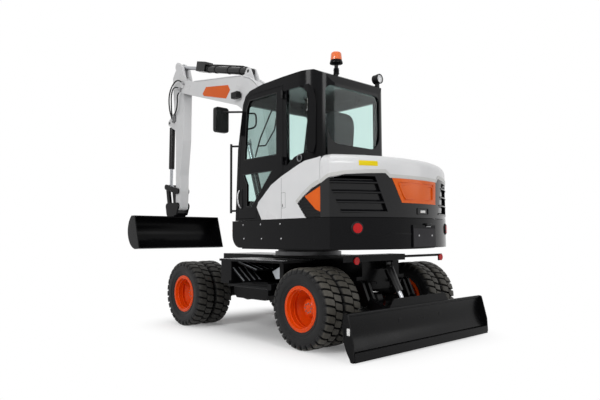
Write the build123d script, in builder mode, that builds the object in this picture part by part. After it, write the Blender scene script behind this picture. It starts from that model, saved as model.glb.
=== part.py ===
# Wheeled excavator with a swing boom, a rear dozer blade and twin wheels.
# Millimetres. X points forward, Y to the machine's left, Z up.
# The origin lies on the ground under the slew axis.
from build123d import *
from math import atan2, cos, degrees, hypot, radians, sin
import os

os.makedirs("parts", exist_ok=True)

# Clearances
running_gap = 0.3
part_gap = 5.0

# Wheels
rear_axle_x = -950.0
wheelbase = 2100.0
front_axle_x = rear_axle_x + wheelbase
tyre_radius = 390.0
axle_z = tyre_radius
tread_half_width = 99.0
sidewall_half_width = 107.0
sidewall_bulge_radius = 290.0
shoulder_radius = 352.0
groove_floor_radius = 362.0
lug_count = 14
lug_groove = 35.0
bead_half_width = 76.0
bead_flank = 7.0
rim_seat_radius = 190.5
rim_flange_radius = 219.0
rim_flange_thickness = 12.0
rim_wall = 9.0
tread_outer_y = 1025.0
twin_pitch = 245.0
outer_tyre_y = tread_outer_y - tread_half_width
inner_tyre_y = outer_tyre_y - twin_pitch
wheel_disc_y = (outer_tyre_y + inner_tyre_y) / 2
wheel_disc_thickness = 14.0
hub_radius = 128.0
hub_inner_y = 640.0
hub_cap_radius = 82.0
hub_cap_length = 88.0
spindle_radius = 50.0
spindle_end_y = 745.0

# Axles and knuckles
axle_tube_radius = 78.0
axle_end_y = 622.0
axle_end_radius = 98.0
diff_radius = 150.0
diff_width = 230.0
kingpin_y = 450.0
kingpin_radius = 26.0
knuckle_radius = 66.0
knuckle_half_height = 92.0
yoke_plate = 32.0
yoke_web_y = 352.0

# Chassis
chassis_half_width = 300.0
chassis_bottom_z = 530.0
chassis_top_z = 862.0
chassis_rear_x = -1110.0
chassis_front_x = 1330.0
chassis_wall = 22.0
axle_pad_half = 120.0
axle_pad_y = 230.0

# Slew ring and platform
slew_ring_radius = 395.0
slew_race_radius = 362.0
slew_ring_height = 42.0
slew_bore_radius = 270.0
deck_bottom_z = 945.0
deck_thickness = 40.0
deck_top_z = deck_bottom_z + deck_thickness
upper_half_width = 950.0
tail_radius = 1600.0
tail_corner_x = -(tail_radius**2 - upper_half_width**2) ** 0.5
counterweight_thickness = 120.0
counterweight_inner_radius = tail_radius - counterweight_thickness
skirt_wall = 30.0
skirt_bottom_z = 957.0
skirt_top_z = 1250.0
skirt_front_x = 230.0
skirt_corner_radius = 140.0
right_front_x = 330.0
post_bay_half_width = 250.0
tail_flank = 119.5
tail_cover_front_x = tail_corner_x + tail_flank
counterweight_front_x = tail_cover_front_x + 98.0
bulkhead_thickness = 12.0
bulkhead_x = tail_cover_front_x + 14.0
tail_cover_top_z = 1850.0
tail_cover_wall = 26.0
hood_edge_radius = 95.0
cover_gap = 5.0
side_cover_step = 20.0

# Cab
cab_width = 1060.0
cab_left_y = upper_half_width - side_cover_step
cab_right_y = cab_left_y - cab_width
cab_rear_x = tail_cover_front_x + 48.0
cab_front_foot_x = 200.0
cab_floor_z = skirt_top_z + 3.0
cab_roof_z = 2716.0
roof_split_z = 2636.0
cab_wall = 42.0
glass_inset = 14.0
glass_thickness = 6.0
door_rear_x = -612.0
door_top_z = 2622.0
door_bottom_z = 1276.0
door_thickness = 36.0

# Boom, arm and bucket pivots in the side view
swing_axis_x = 335.0
boom_foot = (520.0, 1280.0)
boom_tip = (2740.0, 3450.0)
boom_half_width = 110.0
boom_cylinder_base = (720.0, 1010.0)
boom_cylinder_eye = (1180.0, 2380.0)
arm_cylinder_base = (1120.0, 3345.0)
arm_cylinder_eye = (2975.0, 3832.0)
arm_half_width = 75.0
bucket_pin = (2920.0, 1570.0)
link_pin = (3200.0, 1578.0)
rocker_pin = (2912.0, 1806.0)
rocker_end = (3262.0, 1895.0)
bucket_cylinder_base = (3240.0, 2950.0)
bucket_half_width = 740.0

# Blade
blade_pivot = (-1205.0, 430.0)
blade_arm_y = 330.0
blade_half_width = 1100.0
blade_bottom = (-1696.0, 15.0)
blade_belly = (-1604.0, 190.0)
blade_top = (-1612.0, 400.0)
blade_thickness = 18.0
blade_cylinder_base = (-1178.0, 800.0)
blade_cylinder_eye = (-1430.0, 330.0)
blade_pin_radius = 25.0


def save(solid, name):
    solid.label = name
    export_step(solid, f"parts/{name}.step")


def rounded_hull(sketch_plane, circles):
    """Plate outline: tangent hull of (x, z, radius) circles."""
    with BuildSketch(sketch_plane) as outline:
        for x, z, radius in circles:
            with Locations((x, z)):
                Circle(radius)
        make_hull()
    return outline.sketch


def side_extrude(outline, y_near, y_far):
    """Extrude an X-Z outline, drawn on Plane.XZ, between two Y values."""
    with BuildPart() as slab:
        with BuildSketch(Plane.XZ.offset(-y_near)):
            add(outline)
        extrude(amount=-(y_far - y_near))
    return slab.part


def lateral_turn(profile, axle_x):
    """Turn (y, radius) points about a wheel axis that runs along Y at axle_x."""
    with BuildPart() as turned:
        with BuildSketch(Plane(origin=(axle_x, 0, axle_z), x_dir=(0, 1, 0), z_dir=(1, 0, 0))):
            with BuildLine():
                Polyline(*profile, close=True)
            make_face()
        revolve(axis=Axis((axle_x, 0, axle_z), (0, 1, 0)))
    return turned.part


def tube_between(start, end, y, radius, start_trim=0.0, end_trim=0.0):
    """Cylinder in a side plane between two (x, z) points, cut short at its ends."""
    length = hypot(end[0] - start[0], end[1] - start[1])
    along = ((end[0] - start[0]) / length, (end[1] - start[1]) / length)
    base = Plane(
        origin=(start[0] + along[0] * start_trim, y, start[1] + along[1] * start_trim),
        z_dir=(along[0], 0, along[1]),
    )
    with BuildPart() as tube:
        with BuildSketch(base):
            Circle(radius)
        extrude(amount=length - start_trim - end_trim)
    return tube.part


def cross_pin(point, radius, half_length, y=0.0):
    """Pin along Y through an (x, z) point."""
    with BuildPart() as pin:
        with BuildSketch(Plane.XZ.offset(-y)):
            with Locations(point):
                Circle(radius)
        extrude(amount=half_length, both=True)
    return pin.part


# Wheels: one body at each corner holds both rims, the hub and both tyres
lug_pitch = 360.0 / lug_count
groove_half_angle = degrees(atan2(lug_groove / 2, tyre_radius))
lug_half_angle = lug_pitch / 2 - groove_half_angle
lug_tip_radius = tyre_radius / cos(radians(groove_half_angle))
bead_radius = rim_seat_radius + running_gap


def wheel_plane(y):
    """Plane across a wheel axis at the origin; its local X points forward and its local Y down."""
    return Plane(origin=(0, y, 0), x_dir=(1, 0, 0), z_dir=(0, 1, 0))


def lug_ring(first_angle):
    """Outline of one row of lugs: the bottom of a groove, then a lug's two edges, all round."""
    corners_of_ring = []
    for lug in range(lug_count):
        centre = first_angle + lug * lug_pitch
        for radius, offset in (
            (groove_floor_radius, -lug_pitch / 2), (lug_tip_radius, -lug_half_angle), (lug_tip_radius, lug_half_angle),
        ):
            angle = radians(centre + offset)
            corners_of_ring.append((radius * cos(angle), radius * sin(angle)))
    return corners_of_ring


# One tyre about the origin with its outer side towards +Y: carcass, two rows of lugs half a pitch apart;
# the carcass and the dish in each sidewall are prisms with chamfered rims, so every facet is flat
sidewall_rise = (shoulder_radius - sidewall_bulge_radius) * cos(radians(lug_pitch / 2))
dish_floor_radius = rim_flange_radius + bead_flank
dish_rise = (sidewall_bulge_radius - dish_floor_radius) * cos(radians(lug_pitch / 2))
dish_depth = sidewall_half_width - bead_half_width + bead_flank
with BuildPart() as sidewall_dish:
    with BuildSketch(wheel_plane(sidewall_half_width - dish_depth)):
        RegularPolygon(sidewall_bulge_radius, lug_count)
    extrude(amount=2 * dish_depth)
    dish_floor = sidewall_dish.faces().sort_by(Axis.Y)[0]
    chamfer(dish_floor.edges(), length=dish_rise, length2=dish_depth, reference=dish_floor)
with BuildPart() as tyre:
    with BuildSketch(wheel_plane(-sidewall_half_width)):
        RegularPolygon(shoulder_radius, lug_count)
    extrude(amount=2 * sidewall_half_width)
    for sidewall in (tyre.faces().sort_by(Axis.Y)[0], tyre.faces().sort_by(Axis.Y)[-1]):
        chamfer(sidewall.edges(), length=sidewall_rise, length2=sidewall_half_width - tread_half_width,
                reference=sidewall)
    for outwards, first_angle in ((1, 90.0 + lug_pitch / 2), (-1, 90.0)):
        with BuildSketch(wheel_plane(0)):
            with BuildLine():
                Polyline(*lug_ring(first_angle), close=True)
            make_face()
        extrude(amount=outwards * tread_half_width)
    for turn in (0, 180):
        add(sidewall_dish.part, rotation=(0, 0, turn), mode=Mode.SUBTRACT)
    with BuildSketch(wheel_plane(0)):
        RegularPolygon(bead_radius, lug_count, major_radius=False)
    extrude(amount=tyre_radius, both=True, mode=Mode.SUBTRACT)

corners = (
    # name, axle x, side
    ("front_left", front_axle_x, 1),
    ("front_right", front_axle_x, -1),
    ("rear_left", rear_axle_x, 1),
    ("rear_right", rear_axle_x, -1),
)

outer_flange_y = outer_tyre_y + bead_half_width + rim_flange_thickness
outer_seat_y = outer_tyre_y + bead_half_width
outer_back_y = outer_tyre_y - bead_half_width
inner_front_y = inner_tyre_y + bead_half_width
inner_back_y = inner_tyre_y - bead_half_width
inner_flange_y = inner_back_y - rim_flange_thickness
disc_front_y = wheel_disc_y + wheel_disc_thickness
disc_back_y = wheel_disc_y - wheel_disc_thickness
barrel_r = rim_seat_radius - rim_wall
rim_profile = [
    # y, radius: outer face and well, down the dish, hub cap, bore, hub drum, inner well
    (outer_flange_y, rim_flange_radius),
    (outer_seat_y, rim_flange_radius),
    (outer_seat_y, rim_seat_radius),
    (outer_back_y, rim_seat_radius),
    (outer_back_y, rim_flange_radius),
    (outer_back_y - rim_flange_thickness, rim_flange_radius),
    (outer_back_y - rim_flange_thickness, barrel_r),
    (disc_front_y + 4, barrel_r - 8),
    (wheel_disc_y, barrel_r - 30),
    (inner_front_y + rim_flange_thickness - 4, barrel_r - 8),
    (inner_front_y + rim_flange_thickness, rim_flange_radius),
    (inner_front_y, rim_flange_radius),
    (inner_front_y, rim_seat_radius),
    (inner_back_y, rim_seat_radius),
    (inner_back_y, rim_flange_radius),
    (inner_flange_y, rim_flange_radius),
    (inner_flange_y, barrel_r + 4),
    (inner_back_y + 12, barrel_r),
    (inner_front_y - 40, barrel_r),
    (disc_back_y, barrel_r - 44),
    (disc_back_y, hub_radius),
    (hub_inner_y, hub_radius),
    (hub_inner_y, spindle_radius + running_gap),
    (spindle_end_y + part_gap, spindle_radius + running_gap),
    (spindle_end_y + part_gap, 0),
    (disc_front_y + hub_cap_length, 0),
    (disc_front_y + hub_cap_length, hub_cap_radius - 22),
    (disc_front_y + hub_cap_length - 14, hub_cap_radius),
    (disc_front_y, hub_cap_radius),
    (disc_front_y, barrel_r - 44),
    (outer_back_y + 40, barrel_r),
    (outer_seat_y - 12, barrel_r),
    (outer_flange_y, barrel_r + 4),
]

for corner, axle_x, side in corners:
    with BuildPart() as rims:
        add(lateral_turn([(side * y, r) for y, r in rim_profile], axle_x))
    save(rims.part, f"rims_{corner}")
    with BuildPart() as tyres:
        for centre_y in (outer_tyre_y, inner_tyre_y):
            with Locations((axle_x, side * centre_y, axle_z)):
                add(tyre.part, rotation=(0, 0, 90 - side * 90))
    save(tyres.part, f"tyres_{corner}")


# Chassis: a box frame, open below, with lugs for the blade, pads for the axles
chassis_length = chassis_front_x - chassis_rear_x
chassis_mid_x = (chassis_front_x + chassis_rear_x) / 2
chassis_height = chassis_top_z - chassis_bottom_z
blade_lug_thickness = 30.0
blade_arm_thickness = 44.0
blade_cylinder_ear = 22.0
cylinder_eye_width = 60.0
tie_down_y = 200.0
tie_down_z = 590.0
tie_down_reach = 46.0
tie_down_thickness = 26.0
tie_down_radius = 22.0
tie_down_rim = 26.0
with BuildPart() as chassis_frame:
    with BuildSketch(Plane.XY.offset(chassis_bottom_z)):
        with Locations((chassis_mid_x, 0)):
            Rectangle(chassis_length, 2 * chassis_half_width)
    extrude(amount=chassis_height)
    with BuildSketch(Plane.XY.offset(chassis_bottom_z)):
        with Locations((chassis_mid_x, 0)):
            Rectangle(chassis_length - 2 * chassis_wall, 2 * (chassis_half_width - chassis_wall))
    extrude(amount=chassis_height - chassis_wall, mode=Mode.SUBTRACT)
    with BuildSketch(Plane.XY.offset(chassis_top_z - 14)):
        Circle(slew_ring_radius + 30)
    extrude(amount=14)
    with BuildSketch(Plane.XY.offset(chassis_top_z - chassis_wall)):
        Circle(slew_bore_radius)
    extrude(amount=chassis_wall, mode=Mode.SUBTRACT)
    for pad_x in (rear_axle_x, front_axle_x):
        with BuildSketch(Plane.XY.offset(axle_z + axle_tube_radius)):
            for side in (1, -1):
                with Locations((pad_x, side * axle_pad_y)):
                    Rectangle(2 * axle_pad_half, 110)
        extrude(amount=chassis_bottom_z + chassis_wall - axle_z - axle_tube_radius)
    for side in (1, -1):
        for near, far in (
            (blade_arm_y - blade_arm_thickness / 2 - part_gap - blade_lug_thickness,
             blade_arm_y - blade_arm_thickness / 2 - part_gap),
            (blade_arm_y + blade_arm_thickness / 2 + part_gap,
             blade_arm_y + blade_arm_thickness / 2 + part_gap + blade_lug_thickness),
        ):
            lug = rounded_hull(
                Plane.XZ,
                [(*blade_pivot, 55), (-1150, chassis_bottom_z + 60, 40), (-1060, chassis_bottom_z + 60, 40)],
            )
            low, high = sorted((side * near, side * far))
            add(side_extrude(lug, low, high))
        ear_near = cylinder_eye_width / 2 + part_gap
        ear = rounded_hull(Plane.XZ, [(*blade_cylinder_base, 48), (-1100, 790, 60)])
        low, high = sorted((side * ear_near, side * (ear_near + blade_cylinder_ear)))
        add(side_extrude(ear, low, high))
    with BuildSketch(Plane.YZ.offset(chassis_rear_x)):
        with Locations((0, chassis_bottom_z + 75)):
            Rectangle(2 * (blade_arm_y + blade_arm_thickness / 2 + part_gap + blade_lug_thickness), 120)
    extrude(amount=chassis_wall)
    for end_x, outwards in ((chassis_front_x, 1), (chassis_rear_x, -1)):
        eye_x = end_x + outwards * tie_down_reach
        for side in (1, -1):
            with BuildSketch(Plane.XY.offset(tie_down_z)):
                with Locations((eye_x, side * tie_down_y)):
                    Circle(tie_down_radius + tie_down_rim)
                with Locations((end_x + outwards * tie_down_reach / 2 - outwards * chassis_wall / 2, side * tie_down_y)):
                    Rectangle(tie_down_reach + chassis_wall, 2 * (tie_down_radius + tie_down_rim))
                with Locations((eye_x, side * tie_down_y)):
                    Circle(tie_down_radius, mode=Mode.SUBTRACT)
            extrude(amount=tie_down_thickness)
    for side in (1, -1):
        add(cross_pin(blade_pivot, blade_pin_radius + running_gap, 200, side * blade_arm_y), mode=Mode.SUBTRACT)
    add(cross_pin(blade_cylinder_base, 20 + running_gap, 200), mode=Mode.SUBTRACT)
save(chassis_frame.part, "chassis_frame")


# Axles
with BuildPart() as rear_axle:
    add(lateral_turn(
        [(-spindle_end_y, 0), (-spindle_end_y, spindle_radius), (-axle_end_y, spindle_radius),
         (-axle_end_y, axle_end_radius), (-axle_end_y + 60, axle_end_radius),
         (-axle_end_y + 90, axle_tube_radius), (-diff_width / 2 - 60, axle_tube_radius),
         (-diff_width / 2, diff_radius - 30), (-40, diff_radius), (40, diff_radius),
         (diff_width / 2, diff_radius - 30), (diff_width / 2 + 60, axle_tube_radius),
         (axle_end_y - 90, axle_tube_radius), (axle_end_y - 60, axle_end_radius),
         (axle_end_y, axle_end_radius), (axle_end_y, spindle_radius),
         (spindle_end_y, spindle_radius), (spindle_end_y, 0)],
        rear_axle_x))
    split(bisect_by=Plane(origin=(0, 0, axle_z + axle_tube_radius)), keep=Keep.BOTTOM)
save(rear_axle.part, "rear_axle")

knuckle_top_z = axle_z + knuckle_half_height
with BuildPart() as front_axle:
    add(lateral_turn(
        [(-yoke_web_y, 0), (-yoke_web_y, axle_tube_radius), (-diff_width / 2 - 60, axle_tube_radius),
         (-diff_width / 2, diff_radius - 30), (-40, diff_radius), (40, diff_radius),
         (diff_width / 2, diff_radius - 30), (diff_width / 2 + 60, axle_tube_radius),
         (yoke_web_y, axle_tube_radius), (yoke_web_y, 0)],
        front_axle_x))
    split(bisect_by=Plane(origin=(0, 0, axle_z + axle_tube_radius)), keep=Keep.BOTTOM)
    for side in (1, -1):
        with BuildSketch(Plane.XY.offset(axle_z - knuckle_half_height - part_gap - yoke_plate)):
            with Locations((front_axle_x, side * (yoke_web_y + 12))):
                Rectangle(130, 24)
        extrude(amount=2 * (knuckle_half_height + part_gap + yoke_plate))
        for level in (axle_z - knuckle_half_height - running_gap - yoke_plate, knuckle_top_z + running_gap):
            with BuildSketch(Plane.XY.offset(level)):
                with Locations((front_axle_x, side * kingpin_y)):
                    Circle(knuckle_radius - 6)
                with Locations((front_axle_x, side * (yoke_web_y + kingpin_y) / 2)):
                    Rectangle(2 * (knuckle_radius - 6), kingpin_y - yoke_web_y)
            extrude(amount=yoke_plate)
        with BuildSketch(Plane.XY):
            with Locations((front_axle_x, side * kingpin_y)):
                Circle(kingpin_radius + running_gap)
        extrude(amount=tyre_radius * 2, mode=Mode.SUBTRACT)
save(front_axle.part, "front_axle")

for corner, side in (("left", 1), ("right", -1)):
    with BuildPart() as knuckle:
        with BuildSketch(Plane.XY.offset(axle_z - knuckle_half_height)):
            with Locations((front_axle_x, side * kingpin_y)):
                Circle(knuckle_radius)
        extrude(amount=2 * knuckle_half_height)
        with BuildSketch(Plane.XY.offset(axle_z - knuckle_half_height - yoke_plate)):
            with Locations((front_axle_x, side * kingpin_y)):
                Circle(kingpin_radius)
        extrude(amount=2 * (knuckle_half_height + yoke_plate))
        add(lateral_turn(
            [(side * kingpin_y, 0), (side * kingpin_y, 60), (side * (axle_end_y - 70), 70),
             (side * (axle_end_y - 30), axle_end_radius - 10), (side * axle_end_y, axle_end_radius - 10),
             (side * axle_end_y, spindle_radius), (side * spindle_end_y, spindle_radius),
             (side * spindle_end_y, 0)],
            front_axle_x))
        with BuildSketch(Plane.XY.offset(axle_z - 60)):
            with Locations((front_axle_x - 100, side * (kingpin_y - 10))):
                Rectangle(150, 44)
        extrude(amount=30)
    save(knuckle.part, f"knuckle_{corner}")


# Drive line below the frame: gearbox and a shaft to both axles
gearbox_x = -560.0
gearbox_length = 240.0
shaft_radius = 34.0
with BuildPart() as drive_unit:
    with BuildSketch(Plane.XY.offset(axle_z - 90)):
        with Locations((gearbox_x, 0)):
            RectangleRounded(gearbox_length, 300, 40)
    extrude(amount=chassis_bottom_z - axle_z + 90 + chassis_height - chassis_wall)
    add(tube_between(
        (rear_axle_x + diff_radius + running_gap, axle_z), (front_axle_x - diff_radius - running_gap, axle_z),
        0, shaft_radius))
save(drive_unit.part, "drive_unit")


# Steps on both sides between the wheels: a top plate on an end box, ribbed treads, a rung and a tank
step_front_x = 430.0
step_rear_x = -660.0
step_top_z = 832.0
step_outer_y = 985.0
step_plate = 24.0
end_box_length = 195.0
end_box_bottom_z = 560.0
end_box_y = 960.0
step_web_x = -470.0
step_web_thickness = 60.0
step_web_y = 830.0
tank_rear_x = -190.0
tank_y = (480.0, 780.0)
tank_bottom_z = 385.0
tank_corner = 55.0
rung_radius = 15.0
rung_y = 965.0
rung_z = 549.0
rung_rear_x = -500.0
tread_y = (700.0, 940.0)
tread_thickness = 10.0
tread_rib_height = 7.0
tread_rib_width = 12.0
tread_ribs = 4
treads = (
    # front x, front z, rear x, rear z
    (end_box_length + 45.0, 735.0, 30.0, 590.0),
    (end_box_length - 60.0, 800.0, -195.0, 722.0),
)
with BuildPart() as steps:
    for side in (1, -1):
        with BuildSketch(Plane.XY.offset(step_top_z - step_plate)):
            with Locations(((step_front_x + step_rear_x) / 2, side * (chassis_half_width + step_outer_y) / 2)):
                Rectangle(step_front_x - step_rear_x, step_outer_y - chassis_half_width)
        extrude(amount=step_plate)
        with BuildSketch(Plane.XY.offset(end_box_bottom_z)):
            with Locations((step_front_x - end_box_length / 2, side * (chassis_half_width + end_box_y) / 2)):
                Rectangle(end_box_length, end_box_y - chassis_half_width)
            with Locations((step_web_x, side * (chassis_half_width + step_web_y) / 2)):
                Rectangle(step_web_thickness, step_web_y - chassis_half_width)
        extrude(amount=step_top_z - step_plate - end_box_bottom_z)
        with BuildSketch(Plane.XZ.offset(-side * tank_y[0])):
            with BuildLine():
                Polyline(
                    (step_front_x, end_box_bottom_z + step_plate), (step_front_x, tank_bottom_z + tank_corner),
                    (step_front_x - tank_corner, tank_bottom_z), (tank_rear_x + tank_corner, tank_bottom_z),
                    (tank_rear_x, tank_bottom_z + tank_corner), (tank_rear_x, end_box_bottom_z + step_plate),
                    close=True)
            make_face()
        extrude(amount=-side * (tank_y[1] - tank_y[0]))
        with BuildSketch(Plane.XY.offset(end_box_bottom_z)):
            with Locations(((step_front_x + step_web_x) / 2, side * (chassis_half_width + tank_y[0]) / 2)):
                Rectangle(step_front_x - step_web_x, tank_y[0] - chassis_half_width)
        extrude(amount=step_plate)
        rung_front_x = step_front_x - end_box_length + 2 * rung_radius
        add(tube_between((rung_rear_x, rung_z), (rung_front_x, rung_z), side * rung_y, rung_radius))
        with BuildSketch(Plane.YZ.offset(rung_front_x)):
            with Locations((side * (rung_y - rung_radius), rung_z + rung_radius)):
                Rectangle(4 * rung_radius, 4 * rung_radius)
        extrude(amount=-rung_radius)
        with BuildSketch(Plane.YZ.offset(step_web_x - step_web_thickness / 2)):
            with Locations((side * (step_web_y + rung_y) / 2, rung_z + rung_radius)):
                Rectangle(rung_y - step_web_y + 4 * rung_radius, 4 * rung_radius)
        extrude(amount=step_web_thickness)
        for front_x, front_z, rear_x, rear_z in treads:
            slope_length = hypot(front_x - rear_x, front_z - rear_z)
            along = ((rear_x - front_x) / slope_length, (rear_z - front_z) / slope_length)
            slope = Plane(
                origin=(front_x, side * sum(tread_y) / 2, front_z),
                x_dir=(along[0], 0, along[1]), z_dir=(along[1], 0, -along[0]))
            with BuildSketch(slope):
                with Locations((slope_length / 2, 0)):
                    Rectangle(slope_length, tread_y[1] - tread_y[0])
            extrude(amount=-tread_thickness)
            with BuildSketch(slope):
                with Locations((slope_length / 2, 0)):
                    with GridLocations(0, (tread_y[1] - tread_y[0] - tread_rib_width) / (tread_ribs - 1), 1, tread_ribs):
                        Rectangle(slope_length, tread_rib_width)
            extrude(amount=tread_rib_height)
        with BuildSketch(Plane.XZ.offset(-side * chassis_half_width)):
            with BuildLine():
                Polyline(
                    (treads[0][0], treads[0][1]), (treads[0][2], treads[0][3]), (treads[0][2], end_box_bottom_z),
                    (treads[0][0], end_box_bottom_z), close=True)
            make_face()
            with BuildLine():
                Polyline(
                    (treads[1][0], treads[1][1]), (treads[1][2], treads[1][3]),
                    (treads[1][2], step_top_z - step_plate), (treads[1][0], step_top_z - step_plate), close=True)
            make_face()
        extrude(amount=-side * (tread_y[0] - chassis_half_width + tread_rib_width))
save(steps.part, "steps")


# Slew ring, lower half on the chassis
with BuildPart() as slew_ring:
    with BuildSketch(Plane.XY.offset(chassis_top_z)):
        Circle(slew_ring_radius)
        Circle(slew_bore_radius, mode=Mode.SUBTRACT)
    extrude(amount=slew_ring_height)
save(slew_ring.part, "slew_ring")


# Rear step plate on the frame, with one reflector on its lip and one on a side bar
rear_plate_end_x = -1302.0
rear_plate_y = (-160.0, 780.0)
rear_plate_z = 876.0
rear_plate_thickness = 16.0
rear_bracket_places = (-130.0, 130.0, 265.0)
rear_bracket_width = 40.0
rear_bracket_height = 70.0
rear_lip_depth = 62.0
rear_lip_thickness = 8.0
reflector_bar_height = 26.0
reflector_radius = 36.0
reflector_thickness = 12.0
reflector_z = 840.0
reflector_places = (606.0, -808.0)
bar_end_y = reflector_places[1] - reflector_radius
with BuildPart() as rear_step:
    with BuildSketch(Plane.XY.offset(rear_plate_z)):
        with Locations(((rear_plate_end_x + chassis_rear_x) / 2, sum(rear_plate_y) / 2)):
            Rectangle(chassis_rear_x - rear_plate_end_x, rear_plate_y[1] - rear_plate_y[0])
    extrude(amount=rear_plate_thickness)
    with BuildSketch(Plane.YZ.offset(rear_plate_end_x)):
        with Locations((sum(rear_plate_y) / 2, rear_plate_z + rear_plate_thickness - rear_lip_depth / 2)):
            Rectangle(rear_plate_y[1] - rear_plate_y[0], rear_lip_depth)
        with Locations(((rear_plate_y[0] + bar_end_y) / 2, reflector_z + reflector_bar_height)):
            Rectangle(rear_plate_y[0] - bar_end_y, reflector_bar_height)
        with Locations((reflector_places[1], reflector_z)):
            Rectangle(2 * reflector_radius, 2 * reflector_radius)
    extrude(amount=rear_lip_thickness)
    with BuildSketch(Plane.YZ.offset(chassis_rear_x)):
        for place in rear_bracket_places:
            with Locations((place, rear_plate_z + rear_plate_thickness - rear_bracket_height / 2)):
                Rectangle(rear_bracket_width, rear_bracket_height)
    extrude(amount=-chassis_wall)
save(rear_step.part, "rear_step")

with BuildPart() as reflectors:
    for place in reflector_places:
        with BuildSketch(Plane.YZ.offset(rear_plate_end_x)):
            with Locations((place, reflector_z)):
                Circle(reflector_radius)
        extrude(amount=-reflector_thickness)
save(reflectors.part, "reflectors")


# Blade with its arms, end plates, rolled top edge, cutting edge and middle guard
blade_arm_eye = 52.0
blade_eye_rim = 44.0
blade_plate_rounding = 20.0
blade_edge_radius = 16.0
blade_tie = ((-1440.0, 270.0, 40.0), (-1560.0, 250.0, 40.0))
cutting_edge_height = 78.0
cutting_edge_thickness = 9.0
end_plate_thickness = 14.0
end_plate_outline = (
    # x, z, radius
    (-1618.0, 392.0, 22.0),
    (-1612.0, 190.0, 8.0),
    (-1672.0, 28.0, 12.0),
    (-1690.0, 40.0, 12.0),
    (-1684.0, 170.0, 12.0),
)
guard_height = 92.0
guard_half_widths = (500.0, 415.0)
guard_thickness = 10.0
with BuildPart() as blade:
    with BuildSketch(Plane.XZ):
        with BuildLine():
            ThreePointArc(blade_bottom, blade_belly, blade_top)
            Line(blade_top, (blade_top[0] + blade_thickness, blade_top[1]))
            ThreePointArc(
                (blade_top[0] + blade_thickness, blade_top[1]),
                (blade_belly[0] + blade_thickness, blade_belly[1]),
                (blade_bottom[0] + blade_thickness, blade_bottom[1]))
            Line((blade_bottom[0] + blade_thickness, blade_bottom[1]), blade_bottom)
        make_face()
        with Locations((blade_top[0] + blade_thickness / 2, blade_top[1])):
            Circle(blade_edge_radius)
    extrude(amount=blade_half_width, both=True)
    with BuildSketch(Plane.XZ):
        with Locations((
            blade_bottom[0] - cutting_edge_thickness / 2 + blade_thickness / 2, blade_bottom[1] + cutting_edge_height / 2
        )):
            Rectangle(blade_thickness + cutting_edge_thickness, cutting_edge_height)
    extrude(amount=blade_half_width - end_plate_thickness, both=True)
    with BuildSketch(Plane.YZ.offset(blade_top[0] + blade_thickness / 2)):
        with BuildLine():
            Polyline(
                (-guard_half_widths[0], blade_top[1]), (-guard_half_widths[1], blade_top[1] + guard_height),
                (guard_half_widths[1], blade_top[1] + guard_height), (guard_half_widths[0], blade_top[1]),
                close=True)
        make_face()
    extrude(amount=guard_thickness)
    end_plate = rounded_hull(Plane.XZ, end_plate_outline)
    for side in (1, -1):
        low, high = sorted((side * (blade_half_width - end_plate_thickness), side * blade_half_width))
        add(side_extrude(end_plate, low, high))
        arm_plate = rounded_hull(
            Plane.XZ, [(*blade_pivot, blade_arm_eye),
                       (blade_belly[0] + blade_plate_rounding, blade_belly[1], blade_plate_rounding),
                       (blade_belly[0] + blade_plate_rounding, blade_belly[1] + 2 * blade_arm_eye,
                        blade_plate_rounding)])
        low = side * blade_arm_y - blade_arm_thickness / 2
        add(side_extrude(arm_plate, low, low + blade_arm_thickness))
        eye_plate = rounded_hull(
            Plane.XZ, [(*blade_cylinder_eye, blade_eye_rim),
                       (blade_belly[0] + blade_plate_rounding, blade_belly[1] - blade_plate_rounding,
                        blade_plate_rounding),
                       (blade_belly[0] + blade_plate_rounding, blade_belly[1] + 2 * blade_eye_rim,
                        blade_plate_rounding)])
        near = cylinder_eye_width / 2 + part_gap
        low, high = sorted((side * near, side * (near + blade_cylinder_ear)))
        add(side_extrude(eye_plate, low, high))
    tie = rounded_hull(Plane.XZ, blade_tie)
    add(side_extrude(tie, -blade_arm_y, -cylinder_eye_width / 2 - part_gap))
    add(side_extrude(tie, cylinder_eye_width / 2 + part_gap, blade_arm_y))
    for side in (1, -1):
        add(cross_pin(blade_pivot, blade_pin_radius, 60, side * blade_arm_y))
save(blade.part, "blade")


# Platform outlines, as seen from above
def platform_outline(inset):
    """Tail arc about the slew axis, straight flanks and a bay for the swing post."""
    half = upper_half_width - inset
    radius = tail_radius - inset
    tail_x = -(radius**2 - half**2) ** 0.5
    with BuildSketch() as outline:
        with BuildLine():
            Polyline(
                (tail_x, half), (skirt_front_x - inset, half), (skirt_front_x - inset, -post_bay_half_width),
                (right_front_x - inset, -post_bay_half_width), (right_front_x - inset, -half), (tail_x, -half))
            ThreePointArc((tail_x, -half), (-radius, 0), (tail_x, half))
        make_face()
    return outline.sketch


def zone(x_low, x_high):
    """Rectangle across the machine between two X values."""
    with BuildSketch() as band:
        with Locations(((x_low + x_high) / 2, 0)):
            Rectangle(x_high - x_low, 3 * tail_radius)
    return band.sketch


def corner_cut(front_x, y_low, y_high, inset):
    """What a rounded front corner takes off a block that stands on the skirt's lower edge."""
    centre_x = front_x - skirt_corner_radius
    centre_z = skirt_bottom_z + skirt_corner_radius
    with BuildPart() as cut:
        with BuildSketch(Plane.XZ.offset(-y_low)):
            with BuildLine():
                Polyline(
                    (centre_x, centre_z), (centre_x, centre_z - 2 * skirt_corner_radius),
                    (centre_x + 2 * skirt_corner_radius, centre_z - 2 * skirt_corner_radius),
                    (centre_x + 2 * skirt_corner_radius, centre_z), close=True)
            make_face()
            with Locations((centre_x, centre_z)):
                Circle(skirt_corner_radius - inset, mode=Mode.SUBTRACT)
        extrude(amount=-(y_high - y_low))
    return cut.part


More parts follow.
